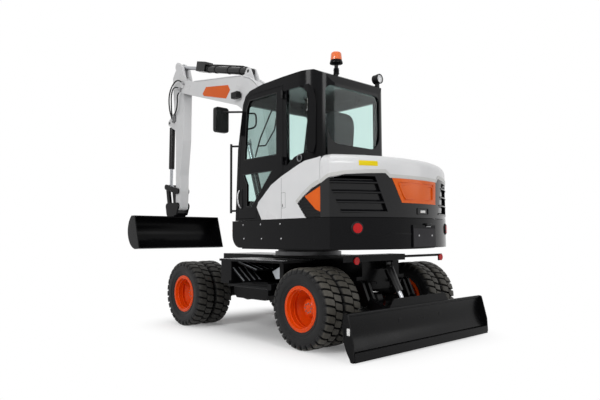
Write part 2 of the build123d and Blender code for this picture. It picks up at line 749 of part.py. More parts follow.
def platform_block(inset, bottom_z, height):
    """Platform outline pulled up to a block, with its front corners rounded in the side view."""
    with BuildPart() as block:
        with BuildSketch(Plane.XY.offset(bottom_z)):
            add(platform_outline(inset))
        extrude(amount=height)
        add(corner_cut(skirt_front_x, -post_bay_half_width, tail_radius, inset), mode=Mode.SUBTRACT)
        add(corner_cut(right_front_x, -tail_radius, -post_bay_half_width, inset), mode=Mode.SUBTRACT)
    return block.part


def tail_hollow_outline():
    """Space inside the counterweight, up to its front edge."""
    with BuildSketch() as hollow:
        Circle(counterweight_inner_radius)
        Rectangle(4 * tail_radius, 2 * (upper_half_width - skirt_wall), mode=Mode.INTERSECT)
        add(zone(counterweight_front_x, 2 * tail_radius), mode=Mode.SUBTRACT)
    return hollow.sketch


ear_top_z = 1232.0
ear_thickness = 52.0
post_gap = 0.5
bulkhead_drop = 40.0
cab_mount_radius = 55.0
cab_mount_inset = 135.0
with BuildPart() as upper_frame:
    with BuildSketch(Plane.XY.offset(deck_bottom_z)):
        add(platform_outline(skirt_wall))
        add(zone(-2 * tail_radius, counterweight_front_x), mode=Mode.SUBTRACT)
        for front_x, side in ((skirt_front_x, 1), (right_front_x, -1)):
            with Locations((front_x, side * (post_bay_half_width + tail_radius / 2))):
                Rectangle(2 * skirt_corner_radius, tail_radius, mode=Mode.SUBTRACT)
    extrude(amount=deck_thickness)
    with BuildSketch(Plane.XY.offset(deck_bottom_z)):
        add(tail_hollow_outline())
    extrude(amount=deck_thickness)
    with BuildSketch(Plane.XY.offset(chassis_top_z + slew_ring_height + running_gap)):
        Circle(slew_race_radius)
        Circle(slew_bore_radius, mode=Mode.SUBTRACT)
    extrude(amount=deck_bottom_z - chassis_top_z - slew_ring_height - running_gap)
    for level in (deck_bottom_z, ear_top_z - ear_thickness):
        with BuildSketch(Plane.XY.offset(level)):
            with BuildLine():
                Line((swing_axis_x - 250, 150), (swing_axis_x, 95))
                ThreePointArc((swing_axis_x, 95), (swing_axis_x + 95, 0), (swing_axis_x, -95))
                Line((swing_axis_x, -95), (swing_axis_x - 250, -150))
                Line((swing_axis_x - 250, -150), (swing_axis_x - 250, 150))
            make_face()
        extrude(amount=ear_thickness)
    with BuildSketch(Plane.XY.offset(deck_top_z)):
        with Locations((swing_axis_x - 240, 0)):
            Rectangle(60, 300)
        with Locations((-60, 0)):
            Rectangle(500, 24)
    extrude(amount=ear_top_z - deck_top_z)
    with BuildSketch(Plane.XY.offset(deck_bottom_z - 5)):
        with Locations((swing_axis_x, 0)):
            Circle(45 + running_gap)
    extrude(amount=ear_top_z, mode=Mode.SUBTRACT)
    with BuildSketch(Plane.XY.offset(deck_top_z)):
        for x in (cab_rear_x + cab_mount_inset, skirt_front_x - skirt_corner_radius - 2 * cab_mount_radius):
            for y in (cab_right_y + cab_mount_inset, cab_left_y - cab_mount_inset):
                with Locations((x, y)):
                    Circle(cab_mount_radius)
    extrude(amount=cab_floor_z - deck_top_z)
    with BuildSketch(Plane.XY.offset(deck_top_z)):
        with Locations((bulkhead_x, 0)):
            Rectangle(bulkhead_thickness, 2 * (upper_half_width - 2 * skirt_wall - part_gap * 2))
    extrude(amount=tail_cover_top_z - bulkhead_drop - deck_top_z)
save(upper_frame.part, "upper_frame")

with BuildPart() as skirt:
    add(platform_block(0, skirt_bottom_z, skirt_top_z - skirt_bottom_z))
    add(platform_block(skirt_wall, skirt_bottom_z - skirt_wall, skirt_top_z - skirt_bottom_z + 2 * skirt_wall),
        mode=Mode.SUBTRACT)
    with BuildSketch(Plane.XY.offset(skirt_bottom_z - skirt_wall)):
        add(zone(-2 * tail_radius, counterweight_front_x))
        with Locations((skirt_front_x, 0)):
            Rectangle(4 * skirt_corner_radius, 2 * post_bay_half_width)
    extrude(amount=skirt_top_z, mode=Mode.SUBTRACT)
save(skirt.part, "skirt")

plate_holder_y = (-260.0, 115.0)
plate_holder_z = (962.0, 1183.0)
plate_holder_thickness = 12.0
with BuildPart() as counterweight:
    with BuildSketch(Plane.XY.offset(skirt_bottom_z)):
        add(platform_outline(0))
        add(zone(counterweight_front_x, 2 * tail_radius), mode=Mode.SUBTRACT)
        add(tail_hollow_outline(), mode=Mode.SUBTRACT)
    extrude(amount=skirt_top_z - skirt_bottom_z)
    with BuildSketch(Plane.YZ.offset(-tail_radius - plate_holder_thickness)):
        with Locations((sum(plate_holder_y) / 2, sum(plate_holder_z) / 2)):
            Rectangle(plate_holder_y[1] - plate_holder_y[0], plate_holder_z[1] - plate_holder_z[0])
    extrude(amount=3 * plate_holder_thickness)
save(counterweight.part, "counterweight")

engine_half_width = 410.0
engine_height = 560.0
engine_gap = 15.0
engine_front_x = bulkhead_x - bulkhead_thickness / 2 - engine_gap
engine_rear_x = -(counterweight_inner_radius**2 - engine_half_width**2) ** 0.5 + 3 * engine_gap
with BuildPart() as engine_block:
    with BuildSketch(Plane.XY.offset(deck_top_z)):
        with Locations(((engine_front_x + engine_rear_x) / 2, 0)):
            Rectangle(engine_front_x - engine_rear_x, 2 * engine_half_width)
    extrude(amount=engine_height)
save(engine_block.part, "engine_block")


# Door hinges at the door's rear edge, outside the cab's side
hinge_x = -626.0
hinge_y = cab_left_y + 22.0
hinge_radius = 13.0
hinge_pin_radius = 6.0
hinge_length = 42.0
hinge_levels = (1800.0, 2480.0)
strap_length = 52.0
strap_thickness = 9.0


def hinge_leaf(axis_x, axis_y, level, reach, wall_y, outwards):
    """Barrel of one hinge half with the strap that joins it to its wall."""
    with BuildPart() as leaf:
        with BuildSketch(Plane.XY.offset(level)):
            with Locations((axis_x, axis_y)):
                Circle(hinge_radius)
            with Locations((axis_x + reach / 2, wall_y + outwards * strap_thickness / 2)):
                Rectangle(abs(reach), strap_thickness)
            web_side = 1 if reach > 0 else -1
            with Locations((axis_x + web_side * strap_thickness / 2, (axis_y + wall_y) / 2)):
                Rectangle(strap_thickness, abs(axis_y - wall_y))
        extrude(amount=hinge_length)
    return leaf.part


def hinge_pin(axis_x, axis_y, level, radius):
    with BuildPart() as pin:
        with BuildSketch(Plane.XY.offset(level)):
            with Locations((axis_x, axis_y)):
                Circle(radius)
        extrude(amount=2 * hinge_length + running_gap)
    return pin.part


# Tail cover, hinged at its right edge: a black band with slatted openings, a white hood and a coloured panel
def tail_solid(inset, top_inset, edge_radius):
    with BuildPart() as block:
        with BuildSketch(Plane.XY.offset(skirt_top_z + cover_gap)):
            add(platform_outline(inset))
            add(zone(tail_cover_front_x, 2 * tail_radius), mode=Mode.SUBTRACT)
        extrude(amount=tail_cover_top_z - top_inset - skirt_top_z - cover_gap)
        top_edges = block.faces().sort_by(Axis.Z)[-1].edges()
        fillet(top_edges.filter_by(lambda edge: edge.center().X < tail_cover_front_x - 1), edge_radius)
    return block.part


def tail_prism(outline):
    """Prism along X behind the slew axis from (y, z) points."""
    with BuildPart() as prism:
        with BuildSketch(Plane.YZ.offset(tail_corner_x)):
            with BuildLine():
                Polyline(*outline, close=True)
            make_face()
        extrude(amount=-tail_radius)
    return prism.part


def tail_sector(inner_radius, outer_radius):
    """Ring about the slew axis, as high as the machine."""
    with BuildPart() as ring:
        with BuildSketch(Plane.XY):
            Circle(outer_radius)
            Circle(inner_radius, mode=Mode.SUBTRACT)
        extrude(amount=2 * tail_cover_top_z)
    return ring.part


seam_z = (
    # distance behind the cover's front edge, height of the seam between band and hood
    (0.0, 1572.0),
    (-82.0, 1612.0),
    (-203.0, 1652.0),
    (-366.0, 1675.0),
)
hood_dip = ((389.0, 1632.0), (456.0, 1690.0), (-450.0, 1690.0), (-378.0, 1632.0))
panel_outline = ((366.0, 1632.0 - running_gap), (-350.0, 1632.0 - running_gap), (-338.0, 1397.0), (246.0, 1397.0))
panel_recess_outline = ((306.0, 1596.0), (-296.0, 1600.0), (-287.0, 1436.0), (219.0, 1415.0))
panel_proud = 3.0
panel_recess = 8.0
grille_angle = 154.0
grille_outline = (
    # distance round the tail from the opening's middle plane, height
    (-285.0, 1640.0),
    (-285.0, 1539.0),
    (-245.0, 1447.0),
    (-173.0, 1287.0),
    (302.0, 1304.0),
    (165.0, 1640.0),
)
slats = (
    # first angle, last angle, height
    (147.3, 164.9, 1300.0),
    (145.9, 163.6, 1392.0),
    (144.4, 162.3, 1484.0),
    (143.5, 161.0, 1576.0),
)
slat_profile = (
    # distance outwards from the tail's radius, height above the slat's own level
    (-38.0, 30.0),
    (6.0, 8.0),
    (6.0, -4.0),
    (-38.0, 16.0),
)
liner_angles = (143.8, 165.4)
liner_z = (1280.0, 1612.0)
liner_profile = (
    (-40.0, 0.0),
    (-34.0, 0.0),
    (-34.0, liner_z[1] - liner_z[0]),
    (-40.0, liner_z[1] - liner_z[0]),
)


def tail_turn(profile, level, first_angle, last_angle):
    """Turn a profile about the slew axis from one angle to another."""
    start = radians(first_angle)
    with BuildPart() as turned:
        with BuildSketch(Plane(
            origin=(0, 0, level), x_dir=(cos(start), sin(start), 0), z_dir=(sin(start), -cos(start), 0)
        )):
            with BuildLine():
                Polyline(*[(tail_radius + outwards, up) for outwards, up in profile], close=True)
            make_face()
        revolve(axis=Axis.Z, revolution_arc=last_angle - first_angle)
    return turned.part


tail_shell = tail_solid(0, 0, hood_edge_radius)
tail_hollow = tail_solid(tail_cover_wall, tail_cover_wall, hood_edge_radius - tail_cover_wall)
with BuildPart() as hood_zone:
    with BuildSketch(Plane.XZ.offset(-2 * tail_radius)):
        with BuildLine():
            Polyline(
                *[(tail_cover_front_x + behind, height) for behind, height in seam_z],
                (-2 * tail_radius, seam_z[-1][1]), (-2 * tail_radius, 2 * tail_cover_top_z),
                (tail_cover_front_x + cover_gap, 2 * tail_cover_top_z),
                (tail_cover_front_x + cover_gap, seam_z[0][1]), close=True)
        make_face()
    extrude(amount=4 * tail_radius)
    add(tail_prism(hood_dip))
with BuildPart() as tail_hood:
    add(tail_shell)
    add(tail_hollow, mode=Mode.SUBTRACT)
    add(hood_zone.part, mode=Mode.INTERSECT)
save(tail_hood.part, "tail_hood")

with BuildPart() as tail_panel:
    add(tail_sector(tail_radius - tail_cover_wall, tail_radius + panel_proud))
    add(tail_prism(panel_outline), mode=Mode.INTERSECT)
    with BuildPart(mode=Mode.PRIVATE) as panel_recess_cut:
        add(tail_sector(tail_radius + panel_proud - panel_recess, tail_radius + 2 * panel_recess))
        add(tail_prism(panel_recess_outline), mode=Mode.INTERSECT)
    add(panel_recess_cut.part, mode=Mode.SUBTRACT)
save(tail_panel.part, "tail_panel")

tail_hinge_x = -1156.0
tail_hinge_y = -upper_half_width - 18.0
tail_hinge_levels = (1330.0, 1520.0)
with BuildPart() as tail_band:
    add(tail_shell)
    add(tail_hollow, mode=Mode.SUBTRACT)
    add(hood_zone.part, mode=Mode.SUBTRACT)
    (left_top, top_z), (right_top, _), (right_foot, foot_z), (left_foot, _) = panel_outline
    add(tail_prism([
        (left_top + running_gap, top_z + tail_cover_wall), (right_top - running_gap, top_z + tail_cover_wall),
        (right_top - running_gap, top_z), (right_foot - running_gap, foot_z - running_gap),
        (left_foot + running_gap, foot_z - running_gap), (left_top + running_gap, top_z),
    ]), mode=Mode.SUBTRACT)
    for side in (1, -1):
        angle = radians(side * grille_angle)
        with BuildSketch(Plane(
            origin=(tail_radius * cos(angle), tail_radius * sin(angle), 0),
            x_dir=(-sin(angle), cos(angle), 0), z_dir=(cos(angle), sin(angle), 0)
        )):
            with BuildLine():
                Polyline(*[(side * along, height) for along, height in grille_outline], close=True)
            make_face()
        extrude(amount=5 * tail_cover_wall, both=True, mode=Mode.SUBTRACT)
        for first_angle, last_angle, level in slats:
            low, high = sorted((side * first_angle, side * last_angle))
            add(tail_turn(slat_profile, level, low, high))
        low, high = sorted((side * liner_angles[0], side * liner_angles[1]))
        add(tail_turn(liner_profile, liner_z[0], low, high))
    for level in tail_hinge_levels:
        upper_leaf = level + hinge_length + running_gap
        add(hinge_leaf(tail_hinge_x, tail_hinge_y, upper_leaf, -strap_length, -upper_half_width, -1))
        add(hinge_pin(tail_hinge_x, tail_hinge_y, level, hinge_pin_radius + running_gap), mode=Mode.SUBTRACT)
save(tail_band.part, "tail_band")


# Side covers: the left one is a swept plate with a louvre in its rear arch and a coloured panel on that
cover_rear_x = tail_cover_front_x + cover_gap
cover_bottom_z = skirt_top_z + cover_gap
cover_front_edge = (
    # x, z along the front and upper edge, from the foot to the tail
    (-290.0, cover_bottom_z), (-208.0, 1386.0), (-239.0, 1444.0), (-290.0, 1481.0), (-447.0, 1609.0),
    (-598.0, 1680.0), (-865.0, 1781.0), (-963.0, 1810.0), (-1143.0, 1824.0), (cover_rear_x, 1830.0),
)
cover_arch = (
    # x, z along the arch, from the tail to the foot
    (cover_rear_x, 1577.0), (-1045.0, 1535.0), (-940.0, 1471.0), (-847.0, 1399.0), (-962.5, cover_bottom_z),
)
accent_outline = ((-948.0, 1462.0), (cover_rear_x, 1550.0), (cover_rear_x, 1308.0), (-1100.0, 1330.0))
cover_back_y = cab_left_y + running_gap
louvre_plate = 6.0
louvre_depth = 16.0
louvre_levels = (1274.0, 1304.0, 1334.0, 1364.0, 1394.0, 1424.0, 1454.0)
louvre_slat = 14.0
accent_thickness = 8.0


def side_sketch(points, inset=0.0):
    with BuildSketch() as outline:
        with BuildLine():
            Polyline(*points, close=True)
        make_face()
        if inset:
            offset(amount=inset, kind=Kind.INTERSECTION)
    return outline.sketch


arch_opening = side_sketch((*cover_arch, (cover_rear_x, cover_bottom_z)))
with BuildPart() as side_cover_left:
    add(side_extrude(side_sketch((*cover_front_edge, *cover_arch)), cover_back_y, upper_half_width))
save(side_cover_left.part, "side_cover_left")

with BuildSketch() as louvre_area:
    add(arch_opening)
    offset(amount=-running_gap, kind=Kind.INTERSECTION)
with BuildSketch() as louvre_bars:
    for level in louvre_levels:
        with Locations(((cover_rear_x + cover_arch[3][0]) / 2, level)):
            Rectangle(cover_arch[3][0] - cover_rear_x, louvre_slat)
    add(louvre_area.sketch, mode=Mode.INTERSECT)
    add(side_sketch(accent_outline, part_gap), mode=Mode.SUBTRACT)
with BuildPart() as side_louvre:
    add(side_extrude(louvre_area.sketch, cover_back_y, cover_back_y + louvre_plate))
    add(side_extrude(louvre_bars.sketch, cover_back_y, cover_back_y + louvre_depth))
save(side_louvre.part, "side_louvre")

with BuildSketch() as accent_area:
    add(side_sketch(accent_outline, -running_gap))
    add(louvre_area.sketch, mode=Mode.INTERSECT)
accent_y = cover_back_y + louvre_plate
with BuildPart() as side_accent:
    add(side_extrude(accent_area.sketch, accent_y, accent_y + accent_thickness))
save(side_accent.part, "side_accent")

right_cover_rear_x = bulkhead_x + bulkhead_thickness / 2 + running_gap
right_cover_edge = (
    # x, z of the upper edge from the front
    (right_front_x, 1390.0),
    (right_front_x - 120.0, 1480.0),
    (-500.0, 1680.0),
    (right_cover_rear_x, 1740.0),
)
with BuildPart() as side_cover_right:
    right_outline = side_sketch(
        ((right_front_x, cover_bottom_z), *right_cover_edge, (right_cover_rear_x, cover_bottom_z)))
    add(side_extrude(right_outline, -upper_half_width, -post_bay_half_width))
    for level in tail_hinge_levels:
        add(hinge_leaf(tail_hinge_x, tail_hinge_y, level, strap_length, -upper_half_width, -1))
        add(hinge_pin(tail_hinge_x, tail_hinge_y, level, hinge_pin_radius))
save(side_cover_right.part, "side_cover_right")


# Cab shell from a plan with rounded corners and a side profile
def cab_prism(inset):
    with BuildSketch() as plan:
        with Locations(((cab_rear_x + cab_front_foot_x) / 2, (cab_left_y + cab_right_y) / 2)):
            Rectangle(cab_front_foot_x - cab_rear_x, cab_left_y - cab_right_y)
        rear = plan.vertices().group_by(Axis.X)[0]
        fillet(rear.sort_by(Axis.Y)[-1], 270)
        fillet(plan.vertices().group_by(Axis.X)[0].sort_by(Axis.Y)[0], 150)
        if inset:
            offset(amount=-inset)
    with BuildSketch() as profile:
        with BuildLine():
            Polyline(
                (-1016, cab_roof_z), (-1086, 2680), (cab_rear_x, 2590), (cab_rear_x, cab_floor_z),
                (cab_front_foot_x, cab_floor_z), (156, 2048), (64, 2543),
                (18, 2630), (-60, 2676), (-274, 2706), (-618, cab_roof_z), close=True)
        make_face()
        if inset:
            offset(amount=-inset)
    with BuildPart() as prism:
        with BuildSketch(Plane.XY.offset(1000)):
            add(plan.sketch)
        extrude(amount=2000)
        with BuildSketch(Plane.XZ.offset(1000)):
            add(profile.sketch)
        extrude(amount=-3000, mode=Mode.INTERSECT)
    return prism.part


door_outline_points = [
    (150, door_bottom_z), (106, 2000), (28, 2520), (-20, 2596), (-80, door_top_z),
    (door_rear_x, door_top_z), (door_rear_x, 1735), (-440, 1632), (-290, 1498), (-226, 1457), (-188, 1400),
    (-170, door_bottom_z)]


quarter_window = side_sketch([(-672, 2560), (-672, 1790), (-790, 1868), (-960, 1905), (-985, 2560)])
rear_window_y = (10.0, 790.0)
rear_window_z = (1900.0, 2560.0)
door_upper_window = side_sketch([(36, 1915), (0, 2480), (-56, 2574), (-520, 2574), (-520, 1915)])
door_lower_window = side_sketch([(66, 1765), (0, 1640), (0, 1400), (-105, 1392), (-455, 1767)])
front_window_z = (1480.0, 2540.0)
side_window = side_sketch([(20, 1900), (-20, 2540), (-950, 2540), (-950, 1900)])
with BuildPart() as window_cuts:
    add(side_extrude(quarter_window, 700, 1100))
    add(side_extrude(side_window, -400, 0))
    with BuildSketch(Plane.YZ.offset(-1400)):
        with Locations((sum(rear_window_y) / 2, sum(rear_window_z) / 2)):
            RectangleRounded(rear_window_y[1] - rear_window_y[0], rear_window_z[1] - rear_window_z[0], 60)
    extrude(amount=500)
    with BuildSketch(Plane.YZ.offset(-100)):
        with Locations(((cab_left_y + cab_right_y) / 2, sum(front_window_z) / 2)):
            RectangleRounded(cab_left_y - cab_right_y - 150, front_window_z[1] - front_window_z[0], 40)
    extrude(amount=500)
cab_outer = cab_prism(0)
cab_inner = cab_prism(cab_wall)
fuel_cap = (-874.0, 1846.0)
fuel_cap_radius = 36.0
fuel_cap_proud = 12.0
with BuildPart() as cab_frame:
    add(cab_outer)
    add(cab_inner, mode=Mode.SUBTRACT)
    add(window_cuts.part, mode=Mode.SUBTRACT)
    add(side_extrude(side_sketch(door_outline_points, part_gap), 800, 1000), mode=Mode.SUBTRACT)
    split(bisect_by=Plane(origin=(0, 0, roof_split_z)), keep=Keep.BOTTOM)
    for level in hinge_levels:
        add(hinge_leaf(hinge_x, hinge_y, level, -strap_length, cab_left_y, 1))
        add(hinge_pin(hinge_x, hinge_y, level, hinge_pin_radius))
    add(cross_pin(fuel_cap, fuel_cap_radius, (cab_wall / 2 + fuel_cap_proud) / 2,
                  cab_left_y + (fuel_cap_proud - cab_wall / 2) / 2))
save(cab_frame.part, "cab_frame")
with BuildPart() as cab_roof:
    add(cab_outer)
    add(cab_inner, mode=Mode.SUBTRACT)
    split(bisect_by=Plane(origin=(0, 0, roof_split_z)), keep=Keep.TOP)
save(cab_roof.part, "cab_roof")
with BuildPart() as cab_glass:
    add(cab_prism(glass_inset))
    add(cab_prism(glass_inset + glass_thickness), mode=Mode.SUBTRACT)
    add(window_cuts.part, mode=Mode.INTERSECT)
save(cab_glass.part, "cab_glass")

with BuildPart() as cab_door:
    add(side_extrude(side_sketch(door_outline_points), cab_left_y - door_thickness, cab_left_y))
    for level in hinge_levels:
        upper_leaf = level + hinge_length + running_gap
        add(hinge_leaf(hinge_x, hinge_y, upper_leaf, strap_length, cab_left_y, 1))
        add(hinge_pin(hinge_x, hinge_y, level, hinge_pin_radius + running_gap), mode=Mode.SUBTRACT)
    add(side_extrude(door_upper_window, 800, 1000), mode=Mode.SUBTRACT)
    add(side_extrude(door_lower_window, 800, 1000), mode=Mode.SUBTRACT)
save(cab_door.part, "cab_door")
with BuildPart() as door_glass:
    for pane in (door_upper_window, door_lower_window):
        add(side_extrude(pane, cab_left_y - glass_inset - glass_thickness, cab_left_y - glass_inset))
save(door_glass.part, "door_glass")

# Seat, consoles and steering column
seat_x = -620.0
seat_y = (cab_left_y + cab_right_y) / 2
floor_top_z = cab_floor_z + cab_wall
with BuildPart() as seat:
    with BuildSketch(Plane.XY.offset(floor_top_z)):
        with Locations((seat_x, seat_y)):
            RectangleRounded(360, 380, 40)
    extrude(amount=300)
    with BuildSketch(Plane.XY.offset(floor_top_z + 300)):
        with Locations((seat_x, seat_y)):
            RectangleRounded(520, 500, 60)
    extrude(amount=130)
    with BuildSketch(Plane.XZ.offset(-seat_y)):
        with BuildLine():
            Polyline((seat_x - 130, floor_top_z + 380), (seat_x - 260, floor_top_z + 380),
                     (seat_x - 330, floor_top_z + 1080), (seat_x - 220, floor_top_z + 1080), close=True)
        make_face()
    extrude(amount=220, both=True)
save(seat.part, "seat")

with BuildPart() as controls:
    for side in (1, -1):
        with BuildSketch(Plane.XY.offset(floor_top_z)):
            with Locations((seat_x + 80, seat_y + side * 360)):
                RectangleRounded(420, 130, 40)
        extrude(amount=520)
        with BuildSketch(Plane.XY.offset(floor_top_z + 520)):
            with Locations((seat_x + 220, seat_y + side * 360)):
                Circle(22)
        extrude(amount=190)
    with BuildSketch(Plane.XY.offset(floor_top_z)):
        with Locations((-60, seat_y)):
            RectangleRounded(110, 120, 25)
    extrude(amount=620)
    with BuildSketch(Plane(origin=(-110, seat_y, floor_top_z + 610), z_dir=(-0.45, 0, 1))):
        Circle(185)
        Circle(160, mode=Mode.SUBTRACT)
        Rectangle(340, 30)
    extrude(amount=26)
save(controls.part, "controls")

# Handrail, mirror, beacon and lamps
rail_radius = 13.0
rail_x = cab_front_foot_x + 40.0
rail_y = cab_left_y + 32.0
rail_z = (1340.0, 2120.0)
rail_arm_radius = 11.0
rail_arm_levels = (1366.0, 2094.0)
rail_arm_length = 170.0
with BuildPart() as handrail:
    with BuildSketch(Plane.XY.offset(rail_z[0])):
        with Locations((rail_x, rail_y)):
            Circle(rail_radius)
    extrude(amount=rail_z[1] - rail_z[0])
    for level in rail_arm_levels:
        with BuildSketch(Plane(origin=(rail_x, rail_y, level), z_dir=(-1, -0.8, 0))):
            Circle(rail_arm_radius)
        extrude(amount=rail_arm_length)
    add(cab_outer, mode=Mode.SUBTRACT)
save(handrail.part, "handrail")

with BuildPart() as mirror:
    with BuildSketch(Plane.YZ.offset(236)):
        with Locations((1092, 2380)):
            RectangleRounded(175, 280, 30)
    extrude(amount=46)
    with BuildSketch(Plane(origin=(70, cab_left_y - 30, 2470), z_dir=(0.70, 0.72, 0))):
        Circle(11)
    extrude(amount=270)
    add(cab_outer, mode=Mode.SUBTRACT)
save(mirror.part, "mirror")

beacon_x = -1035.0
beacon_y = 575.0
beacon_stem_radius = 26.0
beacon_stem = 110.0
beacon_base_radius = 68.0
beacon_base = 36.0
beacon_dome_radius = 62.0
beacon_dome = 84.0
with BuildPart() as beacon:
    with BuildSketch(Plane.XY.offset(cab_roof_z - cab_wall)):
        with Locations((beacon_x, beacon_y)):
            Circle(beacon_stem_radius)
    extrude(amount=cab_wall + beacon_stem)
    with BuildSketch(Plane.XY.offset(cab_roof_z + beacon_stem)):
        with Locations((beacon_x, beacon_y)):
            Circle(beacon_base_radius)
    extrude(amount=beacon_base)
    with BuildSketch(Plane.XY.offset(cab_roof_z + beacon_stem + beacon_base)):
        with Locations((beacon_x, beacon_y)):
            Circle(beacon_dome_radius)
    extrude(amount=beacon_dome, taper=4)
    add(cab_outer, mode=Mode.SUBTRACT)
save(beacon.part, "beacon")

lamp_x = -1035.0
lamp_y = -70.0
lamp_radius = 50.0
lamp_depth = 70.0
lamp_height = 72.0
with BuildPart() as work_lamp:
    with BuildSketch(Plane.XY.offset(cab_roof_z - cab_wall)):
        with Locations((lamp_x, lamp_y)):
            Rectangle(40, 30)
    extrude(amount=cab_wall + lamp_height)
    with BuildSketch(Plane.YZ.offset(lamp_x + lamp_depth / 2)):
        with Locations((lamp_y, cab_roof_z + lamp_height)):
            Circle(lamp_radius)
    extrude(amount=-lamp_depth)
    add(cab_outer, mode=Mode.SUBTRACT)
save(work_lamp.part, "work_lamp")

tail_lamp_angle = 153.0
with BuildPart() as tail_lamps:
    for angle in (tail_lamp_angle, -tail_lamp_angle):
        face = Plane(
            origin=(tail_radius * cos(radians(angle)), tail_radius * sin(radians(angle)), 1150),
            z_dir=(cos(radians(angle)), sin(radians(angle)), 0))
        with BuildSketch(face.offset(-12)):
            Circle(46)
        extrude(amount=30)
    add(counterweight.part, mode=Mode.SUBTRACT)
save(tail_lamps.part, "tail_lamps")


# Swing post at the front, carrying the boom and its cylinder
post_ear = 24.0
post_bottom_z = deck_bottom_z + ear_thickness + post_gap
post_top_z = ear_top_z - ear_thickness - post_gap
with BuildPart() as swing_post:
    with BuildSketch(Plane.XY.offset(post_bottom_z)):
        with Locations((swing_axis_x, 0)):
            Circle(90)
        with Locations((swing_axis_x + 90, 0)):
            Rectangle(180, 180)
    extrude(amount=post_top_z - post_bottom_z)
    with BuildSketch(Plane.XY.offset(deck_bottom_z)):
        with Locations((swing_axis_x, 0)):
            Circle(45)
    extrude(amount=ear_top_z - deck_bottom_z)
    cheek = rounded_hull(
        Plane.XZ, [(*boom_foot, 78), (*boom_cylinder_base, 60), (swing_axis_x + 150, post_bottom_z + 45, 45),
                   (swing_axis_x + 150, post_top_z - 20, 20)])
    for side in (1, -1):
        low, high = sorted((side * (boom_half_width + part_gap), side * (boom_half_width + part_gap + post_ear)))
        add(side_extrude(cheek, low, high))
    web = rounded_hull(
        Plane.XZ, [(swing_axis_x + 140, post_bottom_z + 25, 25), (swing_axis_x + 140, post_top_z - 25, 25)])
    add(side_extrude(web, -boom_half_width - part_gap, boom_half_width + part_gap))
    inner_ear = rounded_hull(
        Plane.XZ, [(*boom_cylinder_base, 58), (swing_axis_x + 160, post_bottom_z + 45, 45),
                   (swing_axis_x + 160, post_bottom_z + 90, 45)])
    for side in (1, -1):
        low, high = sorted((side * (cylinder_eye_width / 2 + part_gap), side * (boom_half_width + part_gap)))
        add(side_extrude(inner_ear, low, high))
    for point, pin_radius in ((boom_foot, 30), (boom_cylinder_base, 28)):
        add(cross_pin(point, pin_radius + running_gap, 300), mode=Mode.SUBTRACT)
save(swing_post.part, "swing_post")


# Boom: a box beam bent at its knee, forked at its tip, with ears for both cylinders
boom_knee_outer = ((752.0, 2850.0), (884.0, 3095.0), (1120.0, 3243.0))
boom_knee_inner = ((1312.0, 2897.0), (1165.0, 2793.0), (1075.0, 2637.0))
boom_foot_end = ((615.0, 1275.0), (510.0, 1188.0), (430.0, 1300.0))
boom_back = ((1244.0, 3286.0), (2360.0, 3446.0))
boom_belly = (2314.0, 3206.0)
boom_eye_ear = ((1010.0, 2500.0, 50.0), (1120.0, 2660.0, 50.0))
boom_eye_ear_radius = 56.0
boom_eye_ear_thickness = 26.0
boom_base_ear = ((1020.0, 3160.0, 40.0), (1210.0, 3220.0, 40.0))
boom_base_ear_radius = 50.0
boom_base_ear_thickness = 24.0
boom_foot_pin_radius = 30.0
arm_cylinder_pin_radius = 24.0
boom_tip_radius = 108.0
boom_tip_pin_radius = 32.0
fork_depth = 178.0
with BuildPart() as boom:
    with BuildSketch(Plane.XZ):
        with BuildLine():
            Line(boom_foot_end[2], boom_knee_outer[0])
            ThreePointArc(*boom_knee_outer)
            Polyline(boom_knee_outer[2], *boom_back, (boom_tip[0], boom_tip[1] + boom_tip_radius))
            ThreePointArc(
                (boom_tip[0], boom_tip[1] + boom_tip_radius), (boom_tip[0] + boom_tip_radius, boom_tip[1]),
                (boom_tip[0], boom_tip[1] - boom_tip_radius))
            Polyline((boom_tip[0], boom_tip[1] - boom_tip_radius), boom_belly, boom_knee_inner[0])
            ThreePointArc(*boom_knee_inner)
            Line(boom_knee_inner[2], boom_foot_end[0])
            ThreePointArc(*boom_foot_end)
        make_face()
    extrude(amount=boom_half_width, both=True)
    add(cross_pin(boom_tip, fork_depth, arm_half_width + part_gap), mode=Mode.SUBTRACT)
    eye_ear = rounded_hull(Plane.XZ, [(*boom_cylinder_eye, boom_eye_ear_radius), *boom_eye_ear])
    near = cylinder_eye_width / 2 + part_gap
    for side in (1, -1):
        low, high = sorted((side * near, side * (near + boom_eye_ear_thickness)))
        add(side_extrude(eye_ear, low, high))
    base_ear = rounded_hull(Plane.XZ, [(*arm_cylinder_base, boom_base_ear_radius), *boom_base_ear])
    for side in (1, -1):
        low, high = sorted((side * near, side * (near + boom_base_ear_thickness)))
        add(side_extrude(base_ear, low, high))
    add(cross_pin(boom_foot, boom_foot_pin_radius, boom_half_width + part_gap + 22))
    add(cross_pin(boom_tip, boom_tip_pin_radius + running_gap, 200), mode=Mode.SUBTRACT)
    add(cross_pin(arm_cylinder_base, arm_cylinder_pin_radius + running_gap, 200), mode=Mode.SUBTRACT)
save(boom.part, "boom")


barrel_start = 72.0


